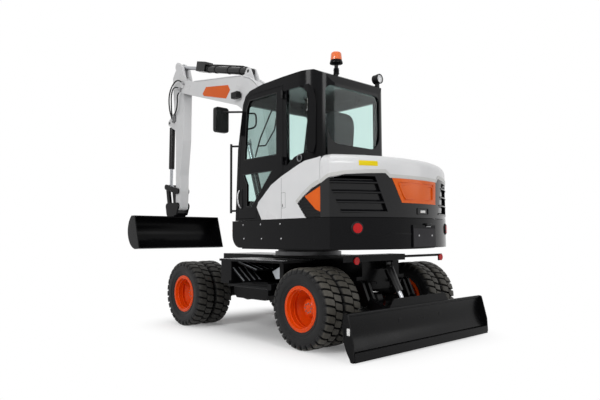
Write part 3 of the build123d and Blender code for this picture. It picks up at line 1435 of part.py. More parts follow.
def cylinder_tube(base, eye, tube_length, tube_radius, bore_radius, pin_radius, block=None):
    """Barrel with its narrow base eye and pin, bored for the rod, and a valve block if it has one."""
    length = hypot(eye[0] - base[0], eye[1] - base[1])
    with BuildPart() as barrel:
        add(tube_between(base, eye, 0, tube_radius, barrel_start, length - tube_length))
        add(tube_between(base, eye, 0, cylinder_eye_width / 2 - 2, 0, length - barrel_start - 10))
        add(cross_pin(base, pin_radius + 22, cylinder_eye_width / 2))
        if block:
            block_length, block_width, block_low, block_high = block
            along = Vector(eye[0] - base[0], 0, eye[1] - base[1]).normalized()
            foot = Vector(base[0], 0, base[1]) + along * (tube_length - part_gap)
            with BuildSketch(Plane(origin=foot, x_dir=(0, 1, 0), z_dir=along)):
                with Locations((0, (block_low + block_high) / 2)):
                    Rectangle(block_width, block_high - block_low)
            extrude(amount=-block_length)
        add(tube_between(base, eye, 0, bore_radius, barrel_start + 14, -50), mode=Mode.SUBTRACT)
        add(cross_pin(base, pin_radius, cylinder_eye_width / 2 + part_gap + 20))
    return barrel.part


def cylinder_rod(base, eye, rod_start, rod_radius, pin_radius):
    """Rod with its eye; the short pin stubs stay between the ears that hold them."""
    length = hypot(eye[0] - base[0], eye[1] - base[1])
    with BuildPart() as rod:
        add(tube_between(base, eye, 0, rod_radius, rod_start, 20))
        add(cross_pin(eye, pin_radius + 20, cylinder_eye_width / 2 - 4))
        add(cross_pin(eye, pin_radius, cylinder_eye_width / 2))
    return rod.part


# length along the barrel, width, lowest and highest distance from the axis
valve_block = (240.0, 140.0, -48.0, 100.0)
cylinders = (
    # name, base, eye, tube length, tube radius, rod radius, rod start, pin radius, valve block
    ("boom_cylinder", boom_cylinder_base, boom_cylinder_eye, 960, 62, 34, 525, 28, None),
    ("arm_cylinder", arm_cylinder_base, arm_cylinder_eye, 1350, 52, 29, 780, 24, valve_block),
    ("bucket_cylinder", bucket_cylinder_base, rocker_end, 755, 46, 26, 322, 22, None),
    ("blade_cylinder", blade_cylinder_base, blade_cylinder_eye, 330, 50, 28, 208, 20, None),
)
for name, base, eye, tube_length, tube_radius, rod_radius, rod_start, pin_radius, block in cylinders:
    bore_radius = rod_radius + running_gap
    save(cylinder_tube(base, eye, tube_length, tube_radius, bore_radius, pin_radius, block), f"{name}_tube")
    save(cylinder_rod(base, eye, rod_start, rod_radius, pin_radius), f"{name}_rod")


# Arm: a tapering box beam that turns inside the boom's fork
arm_boss_radius = 72.0
arm_top_radius = 62.0
arm_foot_radius = 62.0
arm_rear_edge = (
    # x, z upwards from the bucket end
    (2845.0, 1800.0), (2848.0, 2060.0), (2780.0, 2610.0), (2771.0, 3300.0), (2760.0, 3600.0), (2835.0, 3800.0),
)
arm_front_edge = (
    # x, z downwards from the top
    (arm_cylinder_eye[0] - 40.0, arm_cylinder_eye[1] + 46.0), (3112.0, 3670.0), (3083.0, 3338.0),
    (2998.0, 2640.0), (2985.0, 1800.0),
)
arm_eye_slot = ((2770.0, 3870.0, 40.0), (2760.0, 3640.0, 50.0))
arm_eye_slot_radius = 85.0
arm_base_ear = ((2990.0, 2790.0, 20.0), (3040.0, 3110.0, 20.0))
arm_base_ear_radius = 46.0
arm_base_ear_thickness = 20.0
with BuildPart() as arm:
    with BuildSketch(Plane.XZ):
        with BuildLine():
            Polyline(
                (bucket_pin[0] - arm_foot_radius, bucket_pin[1]), *arm_rear_edge, *arm_front_edge,
                (bucket_pin[0] + arm_foot_radius, bucket_pin[1]), close=True)
        make_face()
        for centre, radius in (
            (boom_tip, arm_boss_radius), (arm_cylinder_eye, arm_top_radius), (bucket_pin, arm_foot_radius),
        ):
            with Locations(centre):
                Circle(radius)
    extrude(amount=arm_half_width, both=True)
    eye_slot = rounded_hull(Plane.XZ, [(*arm_cylinder_eye, arm_eye_slot_radius), *arm_eye_slot])
    slot_half = cylinder_eye_width / 2 + part_gap
    add(side_extrude(eye_slot, -slot_half, slot_half), mode=Mode.SUBTRACT)
    base_ear = rounded_hull(Plane.XZ, [(*bucket_cylinder_base, arm_base_ear_radius), *arm_base_ear])
    for side in (1, -1):
        low, high = sorted((side * slot_half, side * (slot_half + arm_base_ear_thickness)))
        add(side_extrude(base_ear, low, high))
    add(cross_pin(boom_tip, boom_tip_pin_radius, boom_half_width + 14))
    for point, pin_radius in ((bucket_cylinder_base, 22), (bucket_pin, 26), (rocker_pin, 24)):
        add(cross_pin(point, pin_radius + running_gap, 300), mode=Mode.SUBTRACT)
save(arm.part, "arm")

# Hoses from the arm's clamp to the boom tip's side, on the arm
hose_radius = 11.0
hose_sides = 8
hose_bend = 45.0
hose_clamp = ((3000.0, 3102.0), (62.0, 96.0), (2930.0, 3056.0))
hose_routes = (
    # x, y, z
    ((2690.0, 132.0, 3475.0), (2790.0, 142.0, 3570.0), (2960.0, 142.0, 3560.0), (3135.0, 122.0, 3440.0),
     (3190.0, 104.0, 3270.0), (3150.0, 92.0, 3060.0), (3078.0, 82.0, 2955.0)),
    ((2770.0, 134.0, 3420.0), (2950.0, 142.0, 3500.0), (3090.0, 118.0, 3400.0), (3140.0, 84.0, 3220.0),
     (3135.0, 80.0, 3070.0), (3078.0, 78.0, 2990.0)),
    ((2790.0, 132.0, 3390.0), (2880.0, 146.0, 3350.0), (2800.0, 146.0, 3230.0), (2880.0, 136.0, 3110.0),
     (3000.0, 102.0, 3055.0), (3078.0, 80.0, 3032.0)),
)
with BuildPart() as arm_hoses:
    for route in hose_routes:
        with BuildPart() as hose:
            with BuildLine() as path:
                FilletPolyline(*route, radius=hose_bend)
            with BuildSketch(Plane(origin=path.line @ 0, z_dir=path.line % 0)):
                RegularPolygon(hose_radius, hose_sides)
            sweep()
        add(hose.part)
    clamp_x, clamp_y, clamp_z = hose_clamp
    with BuildSketch(Plane.XY.offset(clamp_z[0])):
        with Locations((sum(clamp_x) / 2, sum(clamp_y) / 2)):
            Rectangle(clamp_x[1] - clamp_x[0], clamp_y[1] - clamp_y[0])
    extrude(amount=clamp_z[1] - clamp_z[0])
    add(arm.part, mode=Mode.SUBTRACT)
save(arm_hoses.part, "arm_hoses")

# Rocker and link, each a pair of plates outside the arm
rocker_y = arm_half_width + part_gap
with BuildPart() as rocker:
    plate = rounded_hull(Plane.XZ, [(*rocker_pin, 46), (*rocker_end, 42)])
    for side in (1, -1):
        low, high = sorted((side * rocker_y, side * (rocker_y + 20)))
        add(side_extrude(plate, low, high))
    add(cross_pin(rocker_pin, 24, rocker_y + 20))
    with BuildSketch(Plane.XZ):
        with Locations(((rocker_pin[0] + rocker_end[0]) / 2 + 20, (rocker_pin[1] + rocker_end[1]) / 2 - 2)):
            Rectangle(50, 60)
    add(cross_pin(rocker_end, 22 + running_gap, 300), mode=Mode.SUBTRACT)
save(rocker.part, "rocker")

with BuildPart() as bucket_link:
    plate = rounded_hull(Plane.XZ, [(*rocker_end, 40), (*link_pin, 40)])
    for side in (1, -1):
        low, high = sorted((side * (cylinder_eye_width / 2 + part_gap), side * (rocker_y - part_gap)))
        add(side_extrude(plate, low, high))
    add(cross_pin(rocker_end, 22, rocker_y + 20))
    add(cross_pin(link_pin, 30, rocker_y - part_gap))
    add(cross_pin(rocker_end, 120, cylinder_eye_width / 2 + part_gap), mode=Mode.SUBTRACT)
save(bucket_link.part, "bucket_link")

# Coupler and ditching bucket
coupler_cheek_y = rocker_y
coupler_bottom_z = 1448.0
bucket_wall = 16.0
bucket_lip = (2866.0, 914.0)
bucket_heel = (2985.0, 903.0)
bucket_back = (3240.0, 1190.0)
bucket_crown = (3120.0, 1412.0)
bucket_brow = (3025.0, 1412.0)
bucket_cheek = (2935.0, 1130.0)
with BuildPart() as bucket:
    cheek = rounded_hull(Plane.XZ, [(*bucket_pin, 56), (*link_pin, 50), (2940, coupler_bottom_z, 20), (3200, coupler_bottom_z, 20)])
    for side in (1, -1):
        low, high = sorted((side * coupler_cheek_y, side * (coupler_cheek_y + 26)))
        add(side_extrude(cheek, low, high))
    add(cross_pin(bucket_pin, 26, coupler_cheek_y + 26))
    with BuildSketch(Plane.XZ):
        with BuildLine():
            Polyline((3000, 1404), (2930, 1462), (3220, 1462), (3172, 1362), (3120, 1404), close=True)
        make_face()
    extrude(amount=coupler_cheek_y + 26, both=True)
    with BuildSketch(Plane.XZ):
        with BuildLine():
            Line(bucket_lip, bucket_heel)
            ThreePointArc(bucket_heel, bucket_back, bucket_crown)
            Line(bucket_crown, bucket_brow)
            Line(bucket_brow, (bucket_brow[0], bucket_brow[1] - bucket_wall))
            Line((bucket_brow[0], bucket_brow[1] - bucket_wall), (bucket_crown[0], bucket_crown[1] - bucket_wall))
            ThreePointArc(
                (bucket_crown[0], bucket_crown[1] - bucket_wall), (bucket_back[0] - bucket_wall, bucket_back[1]),
                (bucket_heel[0], bucket_heel[1] + bucket_wall))
            Line((bucket_heel[0], bucket_heel[1] + bucket_wall), (bucket_lip[0], bucket_lip[1] + bucket_wall))
            Line((bucket_lip[0], bucket_lip[1] + bucket_wall), bucket_lip)
        make_face()
    extrude(amount=bucket_half_width, both=True)
    with BuildSketch() as end_outline:
        with BuildLine():
            Line(bucket_lip, bucket_heel)
            ThreePointArc(bucket_heel, bucket_back, bucket_crown)
            Line(bucket_crown, bucket_brow)
            ThreePointArc(bucket_brow, bucket_cheek, bucket_lip)
        make_face()
    for side in (1, -1):
        low, high = sorted((side * bucket_half_width, side * (bucket_half_width + bucket_wall)))
        add(side_extrude(end_outline.sketch, low, high))
save(bucket.part, "bucket")

with BuildPart() as boom_lamp:
    with BuildSketch(Plane.XZ.offset(-boom_half_width)):
        with Locations((1230, 3010)):
            RectangleRounded(60, 60, 10)
    extrude(amount=-24)
    with BuildSketch(Plane.YZ.offset(1180)):
        with Locations((boom_half_width + 64, 3010)):
            RectangleRounded(80, 90, 16)
    extrude(amount=120)
save(boom_lamp.part, "boom_lamp")
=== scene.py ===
import bpy
import bmesh
import math
import numpy as np
from mathutils import Matrix, Vector


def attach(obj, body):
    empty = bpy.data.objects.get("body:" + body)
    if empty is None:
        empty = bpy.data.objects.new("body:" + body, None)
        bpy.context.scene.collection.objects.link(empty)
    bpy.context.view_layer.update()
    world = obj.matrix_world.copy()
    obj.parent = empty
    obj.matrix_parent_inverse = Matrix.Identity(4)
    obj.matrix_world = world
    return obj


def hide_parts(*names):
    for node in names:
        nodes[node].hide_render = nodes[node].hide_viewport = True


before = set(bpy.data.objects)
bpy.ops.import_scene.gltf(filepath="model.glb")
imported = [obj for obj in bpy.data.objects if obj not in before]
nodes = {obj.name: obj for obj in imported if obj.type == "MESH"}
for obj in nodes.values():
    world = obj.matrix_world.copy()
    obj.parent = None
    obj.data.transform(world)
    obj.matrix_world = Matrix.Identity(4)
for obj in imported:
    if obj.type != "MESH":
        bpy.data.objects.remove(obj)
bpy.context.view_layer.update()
print("frame loaded:", len(nodes), "parts")

# camera beside and behind the machine, at the photograph's angle
viewpoint = {
    "place": (-4.8723, 4.616, 1.0683),
    "yaw": -42.6216,      # degrees, from the machine's forward axis
    "pitch": 3.8287,      # degrees above the horizon
    "roll": -0.2805,
    "lens": 33.434,       # mm, as the sensor below
    "sensor": 36,
    "farthest": 200,
}


def placeCamera(spec):
    # forward from yaw and pitch, right and up turned about it by the roll
    yaw, pitch, roll = (math.radians(spec[k]) for k in ("yaw", "pitch", "roll"))
    forward = Vector((math.cos(pitch) * math.cos(yaw), math.cos(pitch) * math.sin(yaw), math.sin(pitch)))
    level = Vector((math.sin(yaw), -math.cos(yaw), 0))
    above = level.cross(forward)
    right = level * math.cos(roll) + above * math.sin(roll)
    up = above * math.cos(roll) - level * math.sin(roll)
    lensData = bpy.data.cameras.new("studioCamera")
    lensData.lens = spec["lens"]
    lensData.sensor_width = spec["sensor"]
    lensData.clip_end = spec["farthest"]
    camera = bpy.data.objects.new("studioCamera", lensData)
    bpy.context.scene.collection.objects.link(camera)
    turn = Matrix((right, up, -forward)).transposed().to_4x4()
    camera.matrix_world = Matrix.Translation(spec["place"]) @ turn
    bpy.context.scene.camera = camera


placeCamera(viewpoint)
bpy.context.scene.view_settings.view_transform = "Standard"

# soft studio light: a pale world and four large panels
studio = {
    "world": 0.34,        # light from all round; the camera, glass and gloss see plain white
    "panels": [
        # name, place, aims at, width, power
        ("keyPanel", (-1.5, 7.8, 5.2), (0.2, 0.5, 1.3), 2.6, 250),
        ("tailPanel", (-7.5, 2.6, 4.5), (-1.0, 0.3, 1.4), 1.8, 120),
        ("topPanel", (-1.5, 0.5, 8.5), (0.0, 0.0, 1.0), 4.0, 130),
        ("backPanel", (-6.5, -5.0, 3.5), (-0.8, 0.0, 1.0), 3.0, 60),
    ],
}


def feed(tree, socket, value):
    # another node's output is linked to the socket, a number or colour is set on it
    if isinstance(value, bpy.types.NodeSocket):
        tree.links.new(value, socket)
    else:
        socket.default_value = value


def mathNode(tree, operation, first, second, clamp=False):
    node = tree.nodes.new("ShaderNodeMath")
    node.operation = operation
    node.use_clamp = clamp
    feed(tree, node.inputs[0], first)
    feed(tree, node.inputs[1], second)
    return node.outputs[0]


def seenPlain(tree):
    # 1 for what the camera sees by itself, through glass or in gloss, and 0 for light on the machine
    path = tree.nodes.new("ShaderNodeLightPath")
    direct = mathNode(tree, "MAXIMUM", path.outputs["Is Camera Ray"], path.outputs["Is Transmission Ray"])
    return mathNode(tree, "MAXIMUM", direct, path.outputs["Is Glossy Ray"])


def blendShaders(tree, factor, below, above, out):
    blend = tree.nodes.new("ShaderNodeMixShader")
    for socket, source in zip(blend.inputs, (factor, below, above)):
        tree.links.new(source, socket)
    tree.links.new(blend.outputs[0], out.inputs["Surface"])


def lightStudio(spec):
    world = bpy.data.worlds.new("studioWorld")
    bpy.context.scene.world = world
    world.use_nodes = True
    tree = world.node_tree
    tree.nodes.clear()
    out = tree.nodes.new("ShaderNodeOutputWorld")
    lit = tree.nodes.new("ShaderNodeBackground")
    seen = tree.nodes.new("ShaderNodeBackground")
    for node, strength in ((lit, spec["world"]), (seen, 1.0)):
        node.inputs["Strength"].default_value = strength
        node.inputs["Color"].default_value = (1, 1, 1, 1)
    blendShaders(tree, seenPlain(tree), lit.outputs[0], seen.outputs[0], out)
    for name, place, aim, width, power in spec["panels"]:
        lamp = bpy.data.lights.new(name, "AREA")
        lamp.shape = "SQUARE"
        lamp.size = width
        lamp.energy = power
        holder = bpy.data.objects.new(name, lamp)
        bpy.context.scene.collection.objects.link(holder)
        holder.location = place
        holder.rotation_euler = (Vector(aim) - Vector(place)).to_track_quat("-Z", "Y").to_euler()


lightStudio(studio)
print("camera and lights set")


# shared shader groups: each gives a mask, a tone or a height that varies over the surface
def newGroup(name, inputs, outputs):
    group = bpy.data.node_groups.new(name, "ShaderNodeTree")
    for label, value in inputs.items():
        socket = group.interface.new_socket(label, in_out="INPUT", socket_type="NodeSocketFloat")
        socket.default_value = value
    for label in outputs:
        group.interface.new_socket(label, in_out="OUTPUT", socket_type="NodeSocketFloat")
    return group, group.nodes.new("NodeGroupInput").outputs, group.nodes.new("NodeGroupOutput").inputs


def noiseNode(tree, scale, detail, roughness=0.5):
    # noise in the machine's own coordinates, so that it stays on the surface
    place = tree.nodes.new("ShaderNodeTexCoord")
    noise = tree.nodes.new("ShaderNodeTexNoise")
    tree.links.new(place.outputs["Object"], noise.inputs["Vector"])
    for label, value in (("Scale", scale), ("Detail", detail), ("Roughness", roughness)):
        feed(tree, noise.inputs[label], value)
    return noise.outputs["Fac"]


def patches(tree, noise, start, gain):
    # clamp((noise - start) gain), 0 between the patches and 1 on them
    return mathNode(tree, "MULTIPLY", mathNode(tree, "SUBTRACT", noise, start), gain, clamp=True)


wearLook = {"samples": 6, "sharpness": 6.0, "detail": 4, "patchStart": 0.42, "patchGain": 7.0}


def buildEdgeWear(look):
    # worn where the bevelled normal leaves the flat one, broken up by noise
    group, given, result = newGroup("edgeWear", {"Width": 0.006, "Amount": 0.5, "Break": 40.0}, ["Mask"])
    softened = group.nodes.new("ShaderNodeBevel")
    softened.samples = look["samples"]
    group.links.new(given["Width"], softened.inputs["Radius"])
    flat = group.nodes.new("ShaderNodeNewGeometry")
    alike = group.nodes.new("ShaderNodeVectorMath")
    alike.operation = "DOT_PRODUCT"
    group.links.new(softened.outputs["Normal"], alike.inputs[0])
    group.links.new(flat.outputs["Normal"], alike.inputs[1])
    apart = mathNode(group, "SUBTRACT", 1.0, alike.outputs["Value"])
    sharp = mathNode(group, "MULTIPLY", apart, look["sharpness"], clamp=True)
    noise = noiseNode(group, given["Break"], look["detail"])
    worn = mathNode(group, "MULTIPLY", sharp, patches(group, noise, look["patchStart"], look["patchGain"]))
    group.links.new(mathNode(group, "MULTIPLY", worn, given["Amount"], clamp=True), result["Mask"])
    return group


grainLook = {"fineDetail": 2, "cloudDetail": 5, "cloudRoughness": 0.6}


def buildFineGrain(look):
    # two sizes of noise: a tone for colour and roughness, a height for bump
    group, given, result = newGroup("fineGrain", {"Scale": 400.0, "Cloud": 3.0}, ["Height", "Tone"])
    group.links.new(noiseNode(group, given["Scale"], look["fineDetail"]), result["Height"])
    cloud = noiseNode(group, given["Cloud"], look["cloudDetail"], look["cloudRoughness"])
    group.links.new(cloud, result["Tone"])
    return group


dustLook = {"scale": 6, "detail": 6, "roughness": 0.65, "patchStart": 0.3, "patchGain": 2.0}


def buildGroundDust(look):
    # dust that thins out with height above the ground, in soft patches
    group, given, result = newGroup("groundDust", {"Top": 0.9, "Amount": 0.4}, ["Mask"])
    place = group.nodes.new("ShaderNodeTexCoord")
    split = group.nodes.new("ShaderNodeSeparateXYZ")
    group.links.new(place.outputs["Object"], split.inputs[0])
    fall = group.nodes.new("ShaderNodeMapRange")
    fall.interpolation_type = "SMOOTHSTEP"
    spans = {"Value": split.outputs["Z"], "From Min": 0.0, "From Max": given["Top"],
             "To Min": 1.0, "To Max": 0.0}
    for label, value in spans.items():
        feed(group, fall.inputs[label], value)
    noise = noiseNode(group, look["scale"], look["detail"], look["roughness"])
    spotted = patches(group, noise, look["patchStart"], look["patchGain"])
    dusty = mathNode(group, "MULTIPLY", fall.outputs["Result"], spotted)
    group.links.new(mathNode(group, "MULTIPLY", dusty, given["Amount"], clamp=True), result["Mask"])
    return group


groups = {
    "wear": buildEdgeWear(wearLook),
    "grain": buildFineGrain(grainLook),
    "dust": buildGroundDust(dustLook),
}


def useGroup(tree, name, **values):
    node = tree.nodes.new("ShaderNodeGroup")
    node.node_tree = groups[name]
    for label, value in values.items():
        node.inputs[label].default_value = value
    return node


def mixColour(tree, factor, below, above):
    mix = tree.nodes.new("ShaderNodeMix")
    mix.data_type = "RGBA"
    tree.links.new(factor, mix.inputs[0])
    for socket, value in ((mix.inputs[6], below), (mix.inputs[7], above)):
        feed(tree, socket, (*value, 1) if isinstance(value, tuple) else value)
    return mix.outputs[2]


toneSpan = (0.3, 0.7)      # most of the noise lies between these


def ranged(tree, value, low, high):
    node = tree.nodes.new("ShaderNodeMapRange")
    for label, amount in zip(("From Min", "From Max", "To Min", "To Max"), (*toneSpan, low, high)):
        node.inputs[label].default_value = amount
    tree.links.new(value, node.inputs["Value"])
    return node.outputs["Result"]


def newFinish(name):
    finish = bpy.data.materials.new(name)
    finish.use_nodes = True
    return finish, finish.node_tree, finish.node_tree.nodes["Principled BSDF"]


# what a finish has unless its own row below says otherwise
plainLook = {
    "cloud": 3.0, "grainDepth": 0.0004, "grainStrength": 0.25, "roughSpread": 0.15, "shading": 0.82,
    "metal": 0.0, "specular": 0.5, "coat": 0.0, "coatRough": 0.08,
    "wear": 0.0, "wearWidth": 0.005, "wearColour": (0.25, 0.25, 0.25),
    "dust": 0.0, "dustTop": 0.9, "dustColour": (0.23, 0.21, 0.18), "tops": None, "topsFrom": 0.62,
}


def coatedFinish(name, ownLook):
    # tone varies the base colour and roughness, grain lifts the normal, wear and dust lie over them
    look = {**plainLook, **ownLook}
    finish, tree, shader = newFinish(name)
    grain = useGroup(tree, "grain", Scale=look["grainScale"], Cloud=look["cloud"])
    tone = grain.outputs["Tone"]
    shade = look.get("shade", tuple(c * look["shading"] for c in look["colour"]))
    colour = mixColour(tree, ranged(tree, tone, 0.0, 1.0), shade, look["colour"])
    if look["wear"]:
        wear = useGroup(tree, "wear", Width=look["wearWidth"], Amount=look["wear"])
        colour = mixColour(tree, wear.outputs["Mask"], colour, look["wearColour"])
    if look["tops"]:
        crown = tree.nodes.new("ShaderNodeAttribute")
        crown.attribute_name = "treadTop"
        dusted = mathNode(tree, "MULTIPLY", crown.outputs["Fac"], ranged(tree, tone, look["topsFrom"], 1.0))
        colour = mixColour(tree, dusted, colour, look["tops"])
    if look["dust"]:
        dust = useGroup(tree, "dust", Top=look["dustTop"], Amount=look["dust"])
        colour = mixColour(tree, dust.outputs["Mask"], colour, look["dustColour"])
    tree.links.new(colour, shader.inputs["Base Color"])
    duller, glossier = (look["rough"] * (1 + sign * look["roughSpread"]) for sign in (1, -1))
    tree.links.new(ranged(tree, tone, duller, glossier), shader.inputs["Roughness"])
    lift = tree.nodes.new("ShaderNodeBump")
    lift.inputs["Distance"].default_value = look["grainDepth"]
    lift.inputs["Strength"].default_value = look["grainStrength"]
    tree.links.new(grain.outputs["Height"], lift.inputs["Height"])
    tree.links.new(lift.outputs["Normal"], shader.inputs["Normal"])
    shader.inputs["Metallic"].default_value = look["metal"]
    shader.inputs["Specular IOR Level"].default_value = look["specular"]
    shader.inputs["Coat Weight"].default_value = look["coat"]
    shader.inputs["Coat Roughness"].default_value = look["coatRough"]
    return finish


def glassFinish(name, look):
    # clear pane with a tint; fine dust only roughens it
    finish, tree, shader = newFinish(name)
    shader.inputs["Transmission Weight"].default_value = 1.0
    shader.inputs["IOR"].default_value = look["ior"]
    tone = useGroup(tree, "grain", Scale=look["grainScale"], Cloud=look["cloud"]).outputs["Tone"]
    tint = mixColour(tree, ranged(tree, tone, 0.0, 1.0), look["shade"], look["colour"])
    tree.links.new(tint, shader.inputs["Base Color"])
    tree.links.new(ranged(tree, tone, 0.0, look["haze"]), shader.inputs["Roughness"])
    return finish


finishLooks = {
    "body_white": {"colour": (0.70, 0.70, 0.705), "shade": (0.665, 0.67, 0.68), "rough": 0.3, "specular": 0.3,
                   "coat": 0.15, "grainScale": 220.0, "grainStrength": 0.06, "wear": 0.1,
                   "wearColour": (0.5, 0.5, 0.5)},
    "body_black": {"colour": (0.0040, 0.0040, 0.0048), "rough": 0.15, "specular": 0.10, "grainScale": 500.0,
                   "grainStrength": 0.08, "wear": 0.06, "wearColour": (0.09, 0.09, 0.09)},
    "frame_black": {"colour": (0.0042, 0.0042, 0.0048), "rough": 0.24, "specular": 0.08, "grainScale": 300.0,
                    "grainStrength": 0.15, "wear": 0.18, "wearColour": (0.10, 0.10, 0.10), "dust": 0.008,
                    "dustTop": 1.0},
    "trim_black": {"colour": (0.0085, 0.0085, 0.009), "rough": 0.42, "specular": 0.16, "grainScale": 900.0,
                   "grainStrength": 0.25},
    "rim_orange": {"colour": (0.80, 0.078, 0.0035), "shade": (0.70, 0.060, 0.0025), "rough": 0.26,
                   "specular": 0.2, "grainScale": 260.0, "grainStrength": 0.08, "wear": 0.15,
                   "wearColour": (0.75, 0.16, 0.05)},
    "tyre_rubber": {"colour": (0.0105, 0.0105, 0.011), "rough": 0.5, "specular": 0.2, "grainScale": 160.0,
                    "grainDepth": 0.0008, "grainStrength": 0.25, "tops": (0.082, 0.076, 0.064)},
    "rod_chrome": {"colour": (0.42, 0.43, 0.45), "rough": 0.16, "metal": 1.0, "grainScale": 900.0,
                   "grainStrength": 0.04},
    "cylinder_black": {"colour": (0.0065, 0.0065, 0.007), "rough": 0.22, "specular": 0.25, "grainScale": 320.0,
                       "grainStrength": 0.08, "wear": 0.1, "wearColour": (0.1, 0.1, 0.1)},
    "engine_iron": {"colour": (0.05, 0.05, 0.052), "rough": 0.6, "metal": 0.3, "grainScale": 180.0,
                    "grainDepth": 0.001, "grainStrength": 0.5},
    "ring_steel": {"colour": (0.16, 0.16, 0.165), "rough": 0.4, "metal": 0.9, "grainScale": 500.0,
                   "grainStrength": 0.2, "wear": 0.3},
    "seat_fabric": {"colour": (0.016, 0.016, 0.018), "rough": 0.8, "specular": 0.2, "grainScale": 700.0,
                    "grainStrength": 0.6},
    "panel_orange": {"colour": (0.74, 0.125, 0.010), "shade": (0.68, 0.105, 0.008), "rough": 0.2,
                     "specular": 0.15, "grainScale": 300.0, "grainStrength": 0.06, "wear": 0.08,
                     "wearColour": (0.9, 0.4, 0.2)},
    "hose_rubber": {"colour": (0.008, 0.008, 0.0085), "rough": 0.4, "specular": 0.2, "grainScale": 1400.0,
                    "grainDepth": 0.0003, "grainStrength": 0.4},
    "bolt_steel": {"colour": (0.42, 0.42, 0.43), "shade": (0.30, 0.30, 0.31), "rough": 0.34, "metal": 0.9,
                   "grainScale": 900.0, "grainStrength": 0.15},
    # painted shade: a grey that stands for the shade on the white hood's downward-facing lower lip
    "lip_painted_shade": {"colour": (0.56, 0.56, 0.545), "shade": (0.52, 0.52, 0.505), "rough": 0.4,
                 "grainScale": 300.0, "grainStrength": 0.08},
    # light metal that is partly worn steel and partly painted highlight on the tread ribs, and painted
    # reflection on the gussets
    "grip_wear_and_sheen": {"colour": (0.50, 0.53, 0.56), "shade": (0.30, 0.32, 0.34), "rough": 0.36, "metal": 0.7,
                    "grainScale": 500.0, "grainStrength": 0.3},
    "label_yellow": {"colour": (0.80, 0.62, 0.010), "shade": (0.76, 0.58, 0.008), "rough": 0.4,
                     "specular": 0.15, "grainScale": 400.0, "grainStrength": 0.05},
    "label_white": {"colour": (0.70, 0.70, 0.69), "shade": (0.66, 0.66, 0.65), "rough": 0.4,
                    "grainScale": 400.0, "grainStrength": 0.05},
    "lens_clear": {"colour": (0.72, 0.73, 0.74), "shade": (0.55, 0.56, 0.57), "rough": 0.12, "coat": 1.0,
                   "coatRough": 0.03, "grainScale": 60.0, "grainStrength": 0.1},
    "mirror_dark": {"colour": (0.02, 0.022, 0.022), "rough": 0.05, "coat": 1.0, "coatRough": 0.02,
                    "grainScale": 30.0, "grainStrength": 0.02},
    "lamp_amber": {"colour": (0.85, 0.16, 0.004), "shade": (0.75, 0.11, 0.003), "rough": 0.2, "coat": 0.7,
                   "grainScale": 60.0, "grainStrength": 0.1},
    "lamp_red": {"colour": (0.52, 0.005, 0.007), "shade": (0.40, 0.003, 0.005), "rough": 0.16,
                 "specular": 0.25, "grainScale": 80.0, "grainStrength": 0.1},
    "gloss_black": {"colour": (0.0045, 0.0045, 0.0055), "rough": 0.09, "specular": 0.30, "grainScale": 260.0,
                    "grainStrength": 0.05},
    "plate_grey": {"colour": (0.024, 0.023, 0.026), "rough": 0.6, "specular": 0.15, "grainScale": 700.0,
                   "grainStrength": 0.3},
    "pane_black": {"colour": (0.0028, 0.0029, 0.0035), "rough": 0.07, "specular": 0.08, "grainScale": 40.0,
                   "grainStrength": 0.03},
}
finishes = {slotName: coatedFinish(slotName, look) for slotName, look in finishLooks.items()}
glassLook = {"colour": (0.745, 0.870, 0.845), "shade": (0.725, 0.855, 0.83), "haze": 0.012, "ior": 1.2,
             "grainScale": 60.0, "cloud": 4.0}
finishes["cab_glass"] = glassFinish("cab_glass", glassLook)

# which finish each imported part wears
nodeFinishes = {
    "body_white": ["boom", "arm", "tail_hood", "side_cover_left", "side_cover_right"],
    "body_black": ["cab_frame", "cab_roof", "cab_door", "counterweight", "skirt"],
    "gloss_black": ["tail_band"],
    "panel_orange": ["tail_panel", "side_accent"],
    "hose_rubber": ["arm_hoses"],
    "frame_black": ["chassis_frame", "rear_axle", "front_axle", "knuckle_left", "knuckle_right", "drive_unit",
                    "steps", "rear_step", "blade", "upper_frame", "swing_post", "rocker", "bucket_link",
                    "bucket"],
    "trim_black": ["side_louvre", "controls", "handrail", "mirror", "boom_lamp", "work_lamp"],
    "rim_orange": ["rims_front_left", "rims_front_right", "rims_rear_left", "rims_rear_right"],
    "tyre_rubber": ["tyres_front_left", "tyres_front_right", "tyres_rear_left", "tyres_rear_right"],
    "rod_chrome": ["boom_cylinder_rod", "arm_cylinder_rod", "bucket_cylinder_rod", "blade_cylinder_rod"],
    "cylinder_black": ["boom_cylinder_tube", "arm_cylinder_tube", "bucket_cylinder_tube",
                       "blade_cylinder_tube"],
    "engine_iron": ["engine_block"],
    "ring_steel": ["slew_ring"],
    "seat_fabric": ["seat"],
    "cab_glass": ["cab_glass", "door_glass"],
    "lamp_amber": ["beacon"],
    "lamp_red": ["tail_lamps", "reflectors"],
}
for slotName, members in nodeFinishes.items():
    for member in members:
        nodes[member].data.materials.clear()
        nodes[member].data.materials.append(finishes[slotName])
bare = sorted(set(nodes) - {m for members in nodeFinishes.values() for m in members})
print("finishes on the packed parts; without one:", bare)

# new surfaces are worked out as whole arrays; a finished piece's object sits at the origin
def gridFaces(rows, columns, wrapRows=False):
    # quads between neighbours of a rows x columns grid, each row closed; a wrap joins last and first row
    r = np.arange(rows if wrapRows else rows - 1)[:, None]
    c = np.arange(columns)[None, :]
    nextR, nextC = (r + 1) % rows, (c + 1) % columns
    corners = (r * columns + c, r * columns + nextC, nextR * columns + nextC, nextR * columns + c)
    return np.stack([k.ravel() for k in corners], axis=1).tolist()


def tubeFaces(rows, columns):
    # the quads of a tube and one face over each end
    size = rows * columns
    return gridFaces(rows, columns) + [list(range(columns)), list(range(size - columns, size))]


def copiedFaces(faces, size, count):
    # the faces of one shape of so many points, for each of its copies
    return [[i + k * size for i in face] for k in range(count) for face in faces]


def merged(*shapes):
    # several (points, faces) as one, each one's faces counted on past the points before it
    starts = np.cumsum([0] + [len(p) for p, f in shapes])
    faces = [[i + start for i in face] for (p, f), start in zip(shapes, starts.tolist()) for face in f]
    return np.concatenate([p for p, f in shapes]), faces


